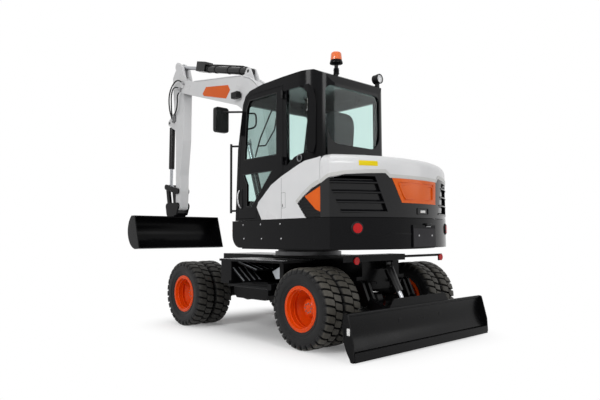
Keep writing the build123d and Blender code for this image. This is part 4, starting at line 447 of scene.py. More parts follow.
def repeated(shape, shifts):
    # P(k, i) = point i + shift k
    points, faces = shape
    shifts = np.asarray(shifts, float)
    return (points[None] + shifts[:, None]).reshape(-1, 3), copiedFaces(faces, len(points), len(shifts))


def slab(outline, depth, origin, across, up):
    # S(k, h) = origin + x(k) across + y(k) up + h (across x up) for h = 0 and depth, closed at both ends
    outline, across, up = (np.asarray(v, float) for v in (outline, across, up))
    flat = np.asarray(origin, float) + outline[:, :1] * across + outline[:, 1:] * up
    return np.concatenate([flat, flat + depth * np.cross(across, up)]), tubeFaces(2, len(outline))


def sideSlab(outline, depth, origin):
    # outline in (x, z); a negative depth goes out to the left
    return slab(outline, depth, origin, (1, 0, 0), (0, 0, 1))


def rearSlab(outline, depth, origin):
    # outline in (y, z); a negative depth goes out to the rear
    return slab(outline, depth, origin, (0, 1, 0), (0, 0, 1))


def frameShape(outer, inner, depth, origin, across, up):
    # a frame between two outlines: outer front, inner front, inner back, outer back, closed round
    across, up, origin = (np.asarray(v, float) for v in (across, up, origin))
    out = depth * np.cross(across, up)
    loops = [origin + o[:, :1] * across + o[:, 1:] * up + h * out
             for o, h in ((outer, 0), (inner, 0), (inner, 1), (outer, 1))]
    return np.concatenate(loops), gridFaces(4, len(outer), wrapRows=True)


def roundedOutline(width, height, radius, steps=5):
    # four quarter arcs: corner centre + radius (cos t, sin t)
    t = np.linspace(0, np.pi / 2, steps)
    arcs = []
    for turn, (sx, sy) in enumerate(((1, 1), (-1, 1), (-1, -1), (1, -1))):
        a = t + turn * np.pi / 2
        arcs.append(np.stack([sx * (width / 2 - radius) + radius * np.cos(a),
                              sy * (height / 2 - radius) + radius * np.sin(a)], axis=1))
    return np.concatenate(arcs)


def borderOutlines(size, radius, width, innerRadius):
    # a rounded outline and the one that lies inside it, smaller by the width
    return roundedOutline(*size, radius), roundedOutline(size[0] - width, size[1] - width, innerRadius)


def turned(profile, centre, axis, count=40, closed=False, flute=(0, 0.0)):
    # S(k, t) = centre + h(k) axis + r(k) (1 + d cos n t) (cos t side + sin t up), with n flutes of depth d
    h, r = np.asarray(profile, float).T
    axis = np.asarray(axis, float) / np.linalg.norm(axis)
    side = np.cross(axis, (0.0, 0.0, 1.0)) if abs(axis[2]) < 0.9 else np.array((1.0, 0.0, 0.0))
    side = side / np.linalg.norm(side)
    t = np.linspace(0, 2 * np.pi, count, endpoint=False)[:, None]
    ring = (1 + flute[1] * np.cos(flute[0] * t)) * (np.cos(t) * side + np.sin(t) * np.cross(side, axis))
    points = np.asarray(centre, float) + h[:, None, None] * axis + r[:, None, None] * ring[None]
    return points.reshape(-1, 3), gridFaces(len(h), count, wrapRows=closed)


def ribbon(path, out, profile, up=(0, 0, 1)):
    # P(t, k) = path(t) + o(k) out(t) + d(k) up(t), a closed section carried along a path, both ends closed
    path = np.asarray(path, float)
    out, up = (np.broadcast_to(np.asarray(v, float), path.shape) for v in (out, up))
    o, d = np.asarray(profile, float).T
    points = path[:, None] + o[None, :, None] * out[:, None] + d[None, :, None] * up[:, None]
    return points.reshape(-1, 3), tubeFaces(len(path), len(o))


def placePiece(name, data, finish, body):
    data.materials.append(finishes[finish])
    piece = bpy.data.objects.new(name, data)
    bpy.context.scene.collection.objects.link(piece)
    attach(piece, body)
    return piece


meshLook = {"join": 1e-5, "bevelSegments": 2, "bevelAngle": 35}


def addPiece(name, shape, finish, body, sharp=35, bevel=0.0, tops=None):
    # merged where points meet, turned outwards, smooth up to the sharp angle; tops is a value per point
    points, faces = shape
    mesh = bpy.data.meshes.new(name)
    mesh.from_pydata(points.tolist(), [], faces)
    if tops is not None:
        crown = mesh.attributes.new("treadTop", "FLOAT", "POINT")
        crown.data.foreach_set("value", np.asarray(tops, np.float32))
    solid = bmesh.new()
    solid.from_mesh(mesh)
    bmesh.ops.remove_doubles(solid, verts=solid.verts, dist=meshLook["join"])
    bmesh.ops.recalc_face_normals(solid, faces=solid.faces)
    solid.to_mesh(mesh)
    solid.free()
    mesh.shade_smooth()
    mesh.set_sharp_from_angle(angle=math.radians(sharp))
    piece = placePiece(name, mesh, finish, body)
    if bevel:
        edges = piece.modifiers.new("edges", "BEVEL")
        edges.width = bevel
        edges.segments = meshLook["bevelSegments"]
        edges.limit_method = "ANGLE"
        edges.angle_limit = math.radians(meshLook["bevelAngle"])
    return piece


def addBar(name, paths, radius, finish, body, smooth=False):
    # round bars along open paths: straight runs, or NURBS where smooth
    curve = bpy.data.curves.new(name, "CURVE")
    curve.dimensions = "3D"
    curve.bevel_depth = radius
    curve.bevel_resolution = 4
    curve.resolution_u = 8
    curve.use_fill_caps = True
    for path in paths:
        spline = curve.splines.new("NURBS" if smooth else "POLY")
        spline.points.add(len(path) - 1)
        spline.points.foreach_set("co", np.column_stack([np.asarray(path, float), np.ones(len(path))]).ravel())
        if smooth:
            spline.order_u = 3
            spline.use_endpoint_u = True
    return placePiece(name, curve, finish, body)


def boltHead(radius, height, out):
    # six-sided head: rings of r (cos t, sin t) at heights 0, 0.8 and 1, and a closed top
    profile = [(0, 0), (0, radius), (0.8 * height, radius), (height, 0.82 * radius), (height, 0)]
    return turned(profile, (0, 0, 0), out, count=6)


# hoses beside the arm's head, down to the clamp on the arm
hoseSpec = {
    "radius": 0.011,
    "routes": [
        # length in metres, then the points that the hose follows
        (1.01, [(2.690, 0.132, 3.475), (2.790, 0.142, 3.570), (2.960, 0.142, 3.560), (3.135, 0.122, 3.440),
                (3.190, 0.104, 3.270), (3.150, 0.092, 3.060), (3.078, 0.082, 2.955)]),
        (0.77, [(2.770, 0.134, 3.420), (2.950, 0.142, 3.500), (3.090, 0.118, 3.400), (3.140, 0.084, 3.220),
                (3.135, 0.080, 3.070), (3.078, 0.078, 2.990)]),
        (0.53, [(2.790, 0.132, 3.390), (2.852, 0.146, 3.338), (2.842, 0.146, 3.220), (2.878, 0.136, 3.110),
                (2.995, 0.102, 3.052), (3.078, 0.080, 3.032)]),
    ],
    # distance along the hose from its end, radius as a share of the hose's
    "fitting": [(-0.012, 0), (-0.012, 1.1), (0.0, 1.1), (0.002, 1.5), (0.016, 1.5), (0.018, 1.25),
                (0.048, 1.2), (0.052, 1.02), (0.052, 0)],
    "clamp": {"middle": (3.051, 0.079, 2.993), "size": (0.100, 0.124), "thick": 0.032, "corner": 0.012},
}


def buildHoses(spec):
    # each hose is one NURBS line with round section; a swaged fitting stands at both ends
    fitting = np.asarray(spec["fitting"]) * (1, spec["radius"])
    hoses = []
    for number, (length, route) in enumerate(spec["routes"]):
        hose = addBar(f"armHose{number + 1}", [route], spec["radius"], "hose_rubber", "arm",
                      smooth=True)
        points = np.asarray(route)
        ends = ((points[0], points[1] - points[0]), (points[-1], points[-2] - points[-1]))
        fittings = [turned(fitting, end, inwards, count=24) for end, inwards in ends]
        sleeve = addPiece(f"hoseFittings{number + 1}", merged(*fittings), "bolt_steel", "arm")
        hoses.append((hose, sleeve, length, route))
    look = spec["clamp"]
    outline = roundedOutline(*look["size"], look["corner"])
    front = np.asarray(look["middle"]) - (0, look["thick"] / 2, 0)
    clamp = addPiece("hoseClamp", sideSlab(outline, -look["thick"], front), "ring_steel", "arm", bevel=0.003)
    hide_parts("arm_hoses")
    for hose, sleeve, length, route in hoses:
        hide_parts("arm_hoses")


buildHoses(hoseSpec)
print("hoses hung")

# twin tyres: a turned carcass and two rows of slanted blocks on each
tyreSpec = {
    "middles": (0.926, 0.681),      # outer and inner tyre, from the machine's centre line
    "axleHeight": 0.390,
    "blocks": 30, "slant": 0.26, "stagger": 0.32, "zigzag": 0.0045,
    "wheels": [
        # name, axle x, side, dust on the blocks
        ("front_left", 1.150, 1, 0.34), ("front_right", 1.150, -1, 0.34),
        ("rear_left", -0.950, 1, 1.0), ("rear_right", -0.950, -1, 0.8),
    ],
    "wall": [
        # half width, radius: tread floor, shoulder, bulge, groove, bead ring, bead
        (0.000, 0.3620), (0.060, 0.3620), (0.086, 0.3590), (0.097, 0.3500), (0.1035, 0.3360),
        (0.1060, 0.3180), (0.1068, 0.3000), (0.1055, 0.2830), (0.1040, 0.2750), (0.1010, 0.2735),
        (0.0995, 0.2700), (0.0985, 0.2560), (0.0960, 0.2500), (0.0985, 0.2465), (0.0985, 0.2410),
        (0.0950, 0.2350), (0.0900, 0.2280), (0.0892, 0.2215), (0.0765, 0.2205), (0.0755, 0.2100),
        (0.0755, 0.1915)],
    "stations": [
        # across, top radius, base across, base radius, half length of the top
        (0.0035, 0.3790, 0.0045, 0.3570, 0.0285), (0.0070, 0.3878, 0.0070, 0.3570, 0.0315),
        (0.0460, 0.3895, 0.0460, 0.3570, 0.0320), (0.0830, 0.3865, 0.0830, 0.3530, 0.0318),
        (0.0965, 0.3800, 0.0930, 0.3460, 0.0300), (0.1060, 0.3620, 0.0990, 0.3400, 0.0262),
        (0.1100, 0.3380, 0.1010, 0.3280, 0.0215)],
    # a block's section round the tyre, in half lengths, and its height from base to top
    "along": (-1.12, -1.03, -0.9, 0.0, 0.9, 1.03, 1.12),
    "rise": (0.0, 0.82, 1.0, 1.0, 1.0, 0.82, 0.0),
}


def carcass(spec, axleX, middle):
    # S(k, t) = middle + s(k) y + r(k) (cos t x + sin t z), the wall mirrored and closed round
    wall = np.asarray(spec["wall"])
    section = np.concatenate([wall, wall[:0:-1] * (-1, 1)])
    return turned(section, (axleX, middle, spec["axleHeight"]), (0, 1, 0), count=96, closed=True)


def treadBlocks(spec, axleX, middle):
    # angle = 2 pi (k + stagger) / blocks + (along(j) - slant s) / radius
    # section j goes from the base over the top to the base
    s, top, baseS, base, half = np.asarray(spec["stations"]).T[:, :, None]
    along, rise = np.array(spec["along"])[None, :], np.array(spec["rise"])[None, :]
    radius = base + (top - base) * rise
    across = baseS + (s - baseS) * rise
    across[:2] += spec["zigzag"] * (2 * np.abs(along) / along.max() - 1)
    crown = np.zeros(radius.shape)
    crown[1:5, 2:5] = 1.0       # the stations and the part of the section that touch the ground
    faces = tubeFaces(*across.shape)
    shapes, tops = [], []
    for side, start in ((1, 0.0), (-1, spec["stagger"])):
        turn = 2 * np.pi * (np.arange(spec["blocks"]) + start)[:, None, None] / spec["blocks"]
        angle = turn + (along * half - spec["slant"] * side * across)[None] / spec["axleHeight"]
        y = np.broadcast_to(middle + side * across, angle.shape)
        points = np.stack([axleX + radius * np.cos(angle), y,
                           spec["axleHeight"] + radius * np.sin(angle)], axis=-1)
        shapes.append((points.reshape(-1, 3), copiedFaces(faces, across.size, spec["blocks"])))
        tops.append(np.tile(crown.ravel(), spec["blocks"]))
    return merged(*shapes), np.concatenate(tops)


for wheel, axleX, side, dusty in tyreSpec["wheels"]:
    shapes, tops = [], []
    for middle in tyreSpec["middles"]:
        wallShape = carcass(tyreSpec, axleX, side * middle)
        blockShape, blockTops = treadBlocks(tyreSpec, axleX, side * middle)
        shapes += [wallShape, blockShape]
        tops += [np.zeros(len(wallShape[0])), dusty * blockTops]
    tyre = addPiece(f"treadedTyres_{wheel}", merged(*shapes), "tyre_rubber", f"wheel_{wheel}",
                    tops=np.concatenate(tops))
    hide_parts(f"tyres_{wheel}")
print("tyres treaded")


def roundAxle(circle, count, axleX, y):
    # spots at axle + circle (cos t x + sin t z), evenly spaced
    t = np.linspace(0, 2 * np.pi, count, endpoint=False)
    return np.stack([axleX + circle * np.cos(t), np.full(count, y),
                     tyreSpec["axleHeight"] + circle * np.sin(t)], axis=1)


# wheel nuts on washers on every disc
nutSpec = {"circle": 0.110, "face": 0.8175, "count": 8, "radius": 0.0135, "height": 0.017,
           "washer": [(0, 0.019), (0.003, 0.019), (0.003, 0.010), (0, 0.010)]}
for wheel, axleX, side, dusty in tyreSpec["wheels"]:
    out = (0, side, 0)
    nut = merged(boltHead(nutSpec["radius"], nutSpec["height"], out),
                 turned(nutSpec["washer"], (0, 0, 0), out, 16, closed=True))
    spots = roundAxle(nutSpec["circle"], nutSpec["count"], axleX, side * nutSpec["face"])
    addPiece(f"wheelNuts_{wheel}", repeated(nut, spots), "rim_orange", f"wheel_{wheel}")
print("wheel nuts on")

# tail: lower lip round the hood and the side covers, painted grey as the shade on its downward face, labels,
# plates and lamps
tailSpec = {
    "radius": 1.600, "cornerX": -1.2874, "flankY": 0.950, "coverFrontX": -1.1679,
    "seam": [(-1.1679, 1.572), (-1.2499, 1.612), (-1.3709, 1.652), (-1.5339, 1.675), (-1.6000, 1.6765)],
    "dip": [(-0.450, 1.690), (-0.378, 1.632), (0.389, 1.632), (0.456, 1.690)],
    "noDip": 9.0,       # a height far above the seam, beside the dip
    "lip": {"height": 0.036, "proud": 0.006, "archProud": 0.003},
    "arch": [(-1.1600, 1.578), (-1.1150, 1.565), (-1.0450, 1.535), (-0.9900, 1.504), (-0.9400, 1.471),
             (-0.8900, 1.432), (-0.8470, 1.399)],
    "label": {"angles": (153.9, 161.0), "heights": (1.738, 1.786), "edgeStart": 1.755, "edgeRadius": 0.095,
              "proud": 0.0010, "sunk": 0.004},
    "plate": {"y": -0.069, "z": 1.320, "sunk": 0.004, "size": (0.200, 0.066), "corner": 0.012, "border": 0.016,
              "innerCorner": 0.007, "depth": 0.009, "sheet": (0.088, 0.024, 0.004), "sheetDepth": 0.006},
    "crease": [(156.2, 1.077), (163.1, 1.077), (165.6, 1.103), (175.6, 1.095)],
    "creaseSection": [(-0.003, -0.012), (0.0005, -0.012), (0.0045, 0.000), (0.0035, 0.003), (-0.003, 0.004)],
    "screws": [(-1.612, 0.021, 1.080), (-1.612, -0.200, 1.080)],
    "screwHead": [(0, 0), (0, 0.010), (0.0025, 0.0095), (0.0045, 0.006), (0.005, 0)],
    "plateLamp": {"back": (-1.597, -0.140, 1.186), "size": (0.085, 0.034, 0.014), "depth": 0.030,
                  "lens": (-1.612, -0.140, 1.1695), "lensSize": (0.064, 0.022, 0.006), "lensDepth": 0.004},
}


def lipSection(height, proud):
    # thin at the lower edge and proud at the upper one, so that the strip looks a little downwards
    return [(-0.002, 0.0), (0.0008, 0.0005), (proud, height - 0.004), (proud - 0.001, height),
            (-0.002, height)]


def buildHoodLip(spec):
    # path: z = seam(x) along both flanks and round the tail, or the orange panel's dip where that is lower
    seamX, seamZ = np.asarray(spec["seam"]).T
    dipY, dipZ = np.asarray(spec["dip"]).T
    corner = math.degrees(math.atan2(spec["flankY"], spec["cornerX"]))
    angle = np.radians(np.linspace(corner, 360 - corner, 181))
    arc = np.stack([np.cos(angle), np.sin(angle)], axis=1)
    flankX = np.linspace(spec["coverFrontX"] + 0.001, spec["cornerX"] + 0.004, 12)
    flank = np.stack([flankX, np.full(len(flankX), spec["flankY"])], axis=1)
    flankOut = np.tile((0.0, 1.0), (len(flankX), 1))
    plan = np.concatenate([flank, spec["radius"] * arc, flank[::-1] * (1, -1)])
    out = np.concatenate([flankOut, arc, -flankOut])
    z = np.interp(-plan[:, 0], -seamX, seamZ)
    dip = np.interp(plan[:, 1], dipY, dipZ, left=spec["noDip"], right=spec["noDip"])
    z = np.minimum(z, np.where(plan[:, 0] < spec["cornerX"], dip, spec["noDip"]))
    section = lipSection(spec["lip"]["height"], spec["lip"]["proud"])
    return ribbon(np.column_stack([plan, z]), np.column_stack([out, np.zeros(len(out))]), section)


def buildArchLip(spec, side):
    # path in the flank's plane; up is square to it, away from the arch
    arch = np.asarray(spec["arch"])
    run = np.gradient(arch, axis=0)
    run /= np.linalg.norm(run, axis=1)[:, None]
    path = np.column_stack([arch[:, 0], np.full(len(arch), side * spec["flankY"]), arch[:, 1]])
    up = np.column_stack([-run[:, 1], np.zeros(len(arch)), run[:, 0]])
    up *= np.sign(up[:, 2:3])
    return ribbon(path, (0, side, 0), lipSection(spec["lip"]["height"], spec["lip"]["archProud"]), up)


def onTail(angles, heights, spec):
    # points of the tail's cylinder: R (cos a, sin a), z
    a = np.radians(angles)
    r = spec["radius"]
    return np.stack([r * np.cos(a), r * np.sin(a), np.asarray(heights, float)], axis=1)


def buildHoodLabel(spec):
    # the label follows the hood's rounded upper edge: inset = r - sqrt(r^2 - (z - z0)^2)
    look = spec["label"]
    a = np.linspace(*look["angles"], 13)
    z = np.linspace(*look["heights"], 7)
    rise = np.clip(z - look["edgeStart"], 0, None)
    inset = look["edgeRadius"] - np.sqrt(look["edgeRadius"] ** 2 - rise ** 2)
    section = np.concatenate([np.stack([look["proud"] - inset, z], axis=1),
                              np.stack([-look["sunk"] - inset, z], axis=1)[::-1]])
    path = onTail(a, np.zeros(len(a)), spec)
    return ribbon(path, path / np.linalg.norm(path, axis=1)[:, None], section)


def dressPlate(spec):
    # a frame and a blank plate, square to the tail at their middle
    look = spec["plate"]
    angle = math.atan2(look["y"], -spec["radius"])
    across = np.array((-math.sin(angle), math.cos(angle), 0.0))
    outwards = np.array((math.cos(angle), math.sin(angle), 0.0))
    spot = outwards * (spec["radius"] - look["sunk"]) + (0, 0, look["z"])
    borders = borderOutlines(look["size"], look["corner"], look["border"], look["innerCorner"])
    addPiece("tailPlateFrame", frameShape(*borders, look["depth"], spot, across, (0, 0, 1)), "trim_black",
             "tail_cover", bevel=0.0015)
    sheet = slab(roundedOutline(*look["sheet"]), look["sheetDepth"], spot + (0, 0, -0.002), across, (0, 0, 1))
    addPiece("tailPlate", sheet, "label_white", "tail_cover")


def buildCrease(spec):
    # the bumper's crease follows the tail at the height that its table gives
    a = np.linspace(spec["crease"][0][0], spec["crease"][-1][0], 40)
    path = onTail(a, np.interp(a, *np.asarray(spec["crease"]).T), spec)
    return ribbon(path, path * (1, 1, 0) / spec["radius"], spec["creaseSection"])


# painted shade: the lips' grey stands for the shade under the hood's lower edge and along the arch's edge
addPiece("hoodLip", buildHoodLip(tailSpec), "lip_painted_shade", "tail_cover", sharp=50)
for name, side in (("archLip_left", 1), ("archLip_right", -1)):
    addPiece(name, buildArchLip(tailSpec, side), "lip_painted_shade", "upper", sharp=50)
addPiece("hoodLabel", buildHoodLabel(tailSpec), "label_yellow", "tail_cover")
dressPlate(tailSpec)
addPiece("bumperCrease", buildCrease(tailSpec), "body_black", "upper", sharp=60)
addPiece("plateScrews", repeated(turned(tailSpec["screwHead"], (0, 0, 0), (-1, 0, 0), 20), tailSpec["screws"]),
         "bolt_steel", "upper")
plateLamp = tailSpec["plateLamp"]
addPiece("plateLamp", slab(roundedOutline(*plateLamp["size"]), plateLamp["depth"], plateLamp["back"],
                           (0, -1, 0), (0, 0, 1)), "trim_black", "upper", bevel=0.006)
addPiece("plateLampLens", slab(roundedOutline(*plateLamp["lensSize"]), plateLamp["lensDepth"],
                               plateLamp["lens"], (0, 1, 0), (1, 0, 0)), "lens_clear", "upper")

# round tail lamps: a dark bezel, a domed red lens with rings
tailLampSpec = {
    "angle": 153.0, "height": 1.150,
    "bezel": [(-0.004, 0.038), (-0.004, 0.060), (0.004, 0.062), (0.012, 0.056), (0.013, 0.045),
              (0.008, 0.038)],
    "lens": [(0.000, 0.039), (0.011, 0.0385), (0.0135, 0.034), (0.0120, 0.033), (0.0145, 0.026),
             (0.0130, 0.025), (0.0155, 0.016), (0.0140, 0.015), (0.0160, 0.006), (0.0160, 0.0), (0.000, 0.0)],
}
for name, side in (("left", 1), ("right", -1)):
    a = math.radians(side * tailLampSpec["angle"])
    outwards = np.array((math.cos(a), math.sin(a), 0.0))
    spot = outwards * tailSpec["radius"] + (0, 0, tailLampSpec["height"])
    addPiece(f"tailLampBezel_{name}", turned(tailLampSpec["bezel"], spot, outwards, closed=True),
             "trim_black", "upper", sharp=50)
    addPiece(f"tailLampLens_{name}", turned(tailLampSpec["lens"], spot, outwards), "lamp_red", "upper",
             sharp=50)
print("tail dressed")

# flank: seams, latch, skirt bolts and corner lamp
flankSpec = {
    "y": 0.950,
    "seam": {"x": -0.609, "z": (1.262, 1.668), "half": 0.0016, "depth": 0.0004, "sunk": 0.0001},
    "latch": {"x": -0.640, "z": 1.440, "size": (0.062, 0.156), "corner": 0.006, "border": 0.005,
              "innerCorner": 0.004, "depth": 0.0006,
              "slot": (-0.628, 1.388), "slotSize": (0.010, 0.030, 0.004), "slotDepth": 0.0008},
    "bolt": (0.0095, 0.006),
    "bolts": [(0.026, 0.950, 1.204), (-0.277, 0.950, 1.204), (-0.592, 0.950, 1.204),
              (0.012, 0.950, 1.055), (-0.294, 0.950, 1.055), (-0.607, 0.950, 1.055)],
    "lampBack": (0.226, 0.880, 1.145), "lampSize": (0.080, 0.125, 0.018), "lampDepth": 0.050,
    "sideLens": [(0, 0), (0, 0.021), (0.006, 0.020), (0.010, 0.014), (0.012, 0)],
    "sideLensAt": (0.250, 0.918, 1.145),
    "frontLens": [(0, 0), (0, 0.026), (0.008, 0.025), (0.013, 0.017), (0.015, 0)],
    "frontLensAt": (0.274, 0.880, 1.145),
}


def flankSeams(spec):
    # the cover's seam, and the latch's border with its slot, all nearly flush
    seam, latch, y = spec["seam"], spec["latch"], spec["y"]
    (low, high), half = seam["z"], seam["half"]
    strip = sideSlab([(-half, low), (half, low), (half, high), (-half, high)], -seam["depth"],
                     (seam["x"], y - seam["sunk"], 0))
    borders = borderOutlines(latch["size"], latch["corner"], latch["border"], latch["innerCorner"])
    ring = frameShape(*borders, -latch["depth"], (latch["x"], y, latch["z"]), (1, 0, 0), (0, 0, 1))
    slotX, slotZ = latch["slot"]
    slot = sideSlab(roundedOutline(*latch["slotSize"]), -latch["slotDepth"], (slotX, y, slotZ))
    return merged(strip, ring, slot)


addPiece("flankSeams", flankSeams(flankSpec), "trim_black", "upper")
for name, side in (("skirtBolts", 1), ("skirtBolts_right", -1)):
    spots = np.asarray(flankSpec["bolts"]) * (1, side, 1)
    addPiece(name, repeated(boltHead(*flankSpec["bolt"], (0, side, 0)), spots), "bolt_steel", "upper")
addPiece("cornerLampBody", rearSlab(roundedOutline(*flankSpec["lampSize"]), flankSpec["lampDepth"],
                                    flankSpec["lampBack"]), "trim_black", "upper", bevel=0.006)
addPiece("cornerLampLens", merged(turned(flankSpec["sideLens"], flankSpec["sideLensAt"], (0, 1, 0), 28),
                                  turned(flankSpec["frontLens"], flankSpec["frontLensAt"], (1, 0, 0), 28)),
         "lamp_amber", "upper")
print("flank dressed")

# door: pull handle in its pocket, seals and an inner loop
doorSpec = {
    "y": 0.930,
    "pocket": {"x": 0.098, "z": 1.492, "size": (0.058, 0.232), "radius": 0.020, "border": 0.010,
               "innerRadius": 0.015, "sunk": 0.001, "rim": 0.006, "bottom": 0.002},
    "pull": [(0.116, 0.938, 1.588), (0.119, 0.958, 1.560), (0.116, 0.962, 1.500), (0.105, 0.962, 1.440),
             (0.092, 0.956, 1.410), (0.090, 0.938, 1.396)],
    "pullRadius": 0.0085,
    "innerLoop": [(0.018, 0.904, 2.442), (-0.020, 0.882, 2.441), (-0.111, 0.878, 2.425),
                  (-0.111, 0.878, 2.280), (-0.020, 0.882, 2.268), (0.020, 0.904, 2.268)],
    "innerLoopRadius": 0.010,
    "windows": [[(0.036, 1.915), (0.000, 2.480), (-0.056, 2.574), (-0.520, 2.574), (-0.520, 1.915)],
                [(0.066, 1.765), (0.000, 1.640), (0.000, 1.400), (-0.105, 1.392), (-0.455, 1.767)]],
    "seal": {"width": 0.012, "depth": -0.0025, "sunk": 0.0005},
}


def pocketShape(spec):
    # a raised border and the thin bottom inside it
    look = spec["pocket"]
    spot = (look["x"], spec["y"] - look["sunk"], look["z"])
    outer, inner = borderOutlines(look["size"], look["radius"], look["border"], look["innerRadius"])
    rim = frameShape(outer, inner, -look["rim"], spot, (1, 0, 0), (0, 0, 1))
    return merged(rim, sideSlab(inner, -look["bottom"], spot))


def sealShape(outline, spec):
    # a bead round an opening: the outline and the outline drawn in towards its middle by about the width
    outline, look = np.asarray(outline, float), spec["seal"]
    following = np.roll(outline, -1, axis=0)
    edges = following - outline
    edges /= np.linalg.norm(edges, axis=1)[:, None]
    turn = np.sign(np.sum(outline[:, 0] * following[:, 1] - following[:, 0] * outline[:, 1]))
    normals = turn * np.stack([-edges[:, 1], edges[:, 0]], axis=1)
    mean = normals + np.roll(normals, 1, axis=0)
    mean /= np.sum(mean * normals, axis=1)[:, None]
    return frameShape(outline, outline + look["width"] * mean, look["depth"], (0, spec["y"] - look["sunk"], 0),
                      (1, 0, 0), (0, 0, 1))


addPiece("doorPocket", pocketShape(doorSpec), "trim_black", "cab_door", bevel=0.001)
addBar("doorPull", [doorSpec["pull"]], doorSpec["pullRadius"], "bolt_steel", "cab_door", smooth=True)
addPiece("doorSeals", merged(*(sealShape(window, doorSpec) for window in doorSpec["windows"])),
         "hose_rubber", "cab_door", bevel=0.0008)
addBar("doorInnerLoop", [doorSpec["innerLoop"]], doorSpec["innerLoopRadius"], "trim_black", "cab_door",
       smooth=True)

# blade: a thin sheet on its face and a blank label
bladeSpec = {
    "bottom": (-1.6680, 0.098), "belly": (-1.6060, 0.245), "top": (-1.6150, 0.394),
    "halfWidth": 1.085, "thickness": 0.012,
    "label": (-1.645, 1.0995, 0.268), "labelSize": (0.034, 0.058, 0.003), "labelDepth": 0.0015,
}


def circleThrough(a, b, c):
    # centre and radius of the circle through three (x, z) points
    (ax, az), (bx, bz), (cx, cz) = a, b, c
    d = 2 * (ax * (bz - cz) + bx * (cz - az) + cx * (az - bz))
    ux = ((ax**2 + az**2) * (bz - cz) + (bx**2 + bz**2) * (cz - az) + (cx**2 + cz**2) * (az - bz)) / d
    uz = ((ax**2 + az**2) * (cx - bx) + (bx**2 + bz**2) * (ax - cx) + (cx**2 + cz**2) * (bx - ax)) / d
    return np.array((ux, uz)), math.hypot(ax - ux, az - uz)


def arcBetween(centre, first, last, steps):
    # unit vectors (cos t, sin t) from the centre, from the first point round to the last
    low, high = (math.atan2(p[1] - centre[1], p[0] - centre[0]) for p in (first, last))
    t = np.linspace(low, high, steps)
    return np.stack([np.cos(t), np.sin(t)], axis=1)


def buildBladeSkin(spec):
    # section: the arc through bottom, belly and top, and the same arc further out; carried from side to side
    centre, radius = circleThrough(spec["bottom"], spec["belly"], spec["top"])
    arc = arcBetween(centre, spec["bottom"], spec["top"], 24)
    section = np.concatenate([centre + radius * arc, centre + (radius + spec["thickness"]) * arc[::-1]])
    path = np.column_stack([np.zeros(3), np.linspace(-spec["halfWidth"], spec["halfWidth"], 3), np.zeros(3)])
    return ribbon(path, (1, 0, 0), section)


addPiece("bladeSkin", buildBladeSkin(bladeSpec), "frame_black", "blade", sharp=40)
addPiece("bladeLabel", sideSlab(roundedOutline(*bladeSpec["labelSize"]), -bladeSpec["labelDepth"],
                                bladeSpec["label"]), "label_white", "blade")
print("door and blade dressed")

# mirror, work lamp, boom lamp and a ribbed beacon
mirrorSpec = {"at": (0.2365, 1.092, 2.380), "glass": (0.150, 0.250, 0.022), "glassDepth": 0.003,
              "rim": (0.175, 0.280, 0.030), "opening": (0.152, 0.252, 0.023), "rimDepth": 0.007}
mirrorPane, mirrorOuter, mirrorInner = (roundedOutline(*mirrorSpec[k]) for k in ("glass", "rim", "opening"))
addPiece("mirrorGlass", rearSlab(mirrorPane, -mirrorSpec["glassDepth"], mirrorSpec["at"]), "mirror_dark",
         "upper", bevel=0.001)
addPiece("mirrorRim", frameShape(mirrorOuter, mirrorInner, -mirrorSpec["rimDepth"], mirrorSpec["at"],
                                 (0, 1, 0), (0, 0, 1)), "trim_black", "upper", bevel=0.002)
lampSpec = {
    "at": (-1.070, -0.070, 2.788),
    "bezel": [(-0.022, 0.0500), (-0.022, 0.0535), (0.006, 0.0540), (0.009, 0.0500), (0.009, 0.0440),
              (0.002, 0.0430), (0.002, 0.0500)],
    "lens": [(-0.001, 0.0), (-0.001, 0.044), (0.003, 0.0435), (0.005, 0.034), (0.0035, 0.033), (0.006, 0.022),
             (0.0045, 0.021), (0.007, 0.010), (0.007, 0.0)],
    "boomLens": (1.299, 0.174, 3.010), "boomLensSize": (0.066, 0.076, 0.010), "boomLensDepth": 0.004,
}
addPiece("workLampBezel", turned(lampSpec["bezel"], lampSpec["at"], (-1, 0, 0), closed=True), "trim_black",
         "upper", sharp=40)
addPiece("workLampLens", turned(lampSpec["lens"], lampSpec["at"], (-1, 0, 0)), "lens_clear", "upper", sharp=30)
addPiece("boomLampLens", rearSlab(roundedOutline(*lampSpec["boomLensSize"]), lampSpec["boomLensDepth"],
                                  lampSpec["boomLens"]), "lens_clear", "boom", bevel=0.0015)
beaconSpec = {
    "at": (-1.035, 0.575, 2.826),
    "base": [(-0.166, 0.0), (-0.166, 0.020), (-0.110, 0.020), (-0.108, 0.030), (-0.100, 0.031),
             (-0.092, 0.026), (-0.084, 0.031), (-0.076, 0.026), (-0.068, 0.031), (-0.060, 0.026),
             (-0.052, 0.030), (-0.048, 0.020), (-0.006, 0.019), (-0.004, 0.046), (0.000, 0.066),
             (0.006, 0.0675), (0.022, 0.0635), (0.036, 0.0570), (0.036, 0.0)],
    "dome": [(0.036, 0.0), (0.036, 0.0585), (0.052, 0.0575), (0.098, 0.0535), (0.110, 0.0500), (0.117, 0.0420),
             (0.119, 0.0300), (0.119, 0.0)],
    "flutes": (24, 0.012),
}
beaconBase = addPiece("beaconBase", turned(beaconSpec["base"], beaconSpec["at"], (0, 0, 1), 48),
                      "body_black", "upper")
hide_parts("beacon")
addPiece("beaconDome", turned(beaconSpec["dome"], beaconSpec["at"], (0, 0, 1), 96, flute=beaconSpec["flutes"]),
         "lamp_amber", "upper", sharp=50)
print("lamps glazed")

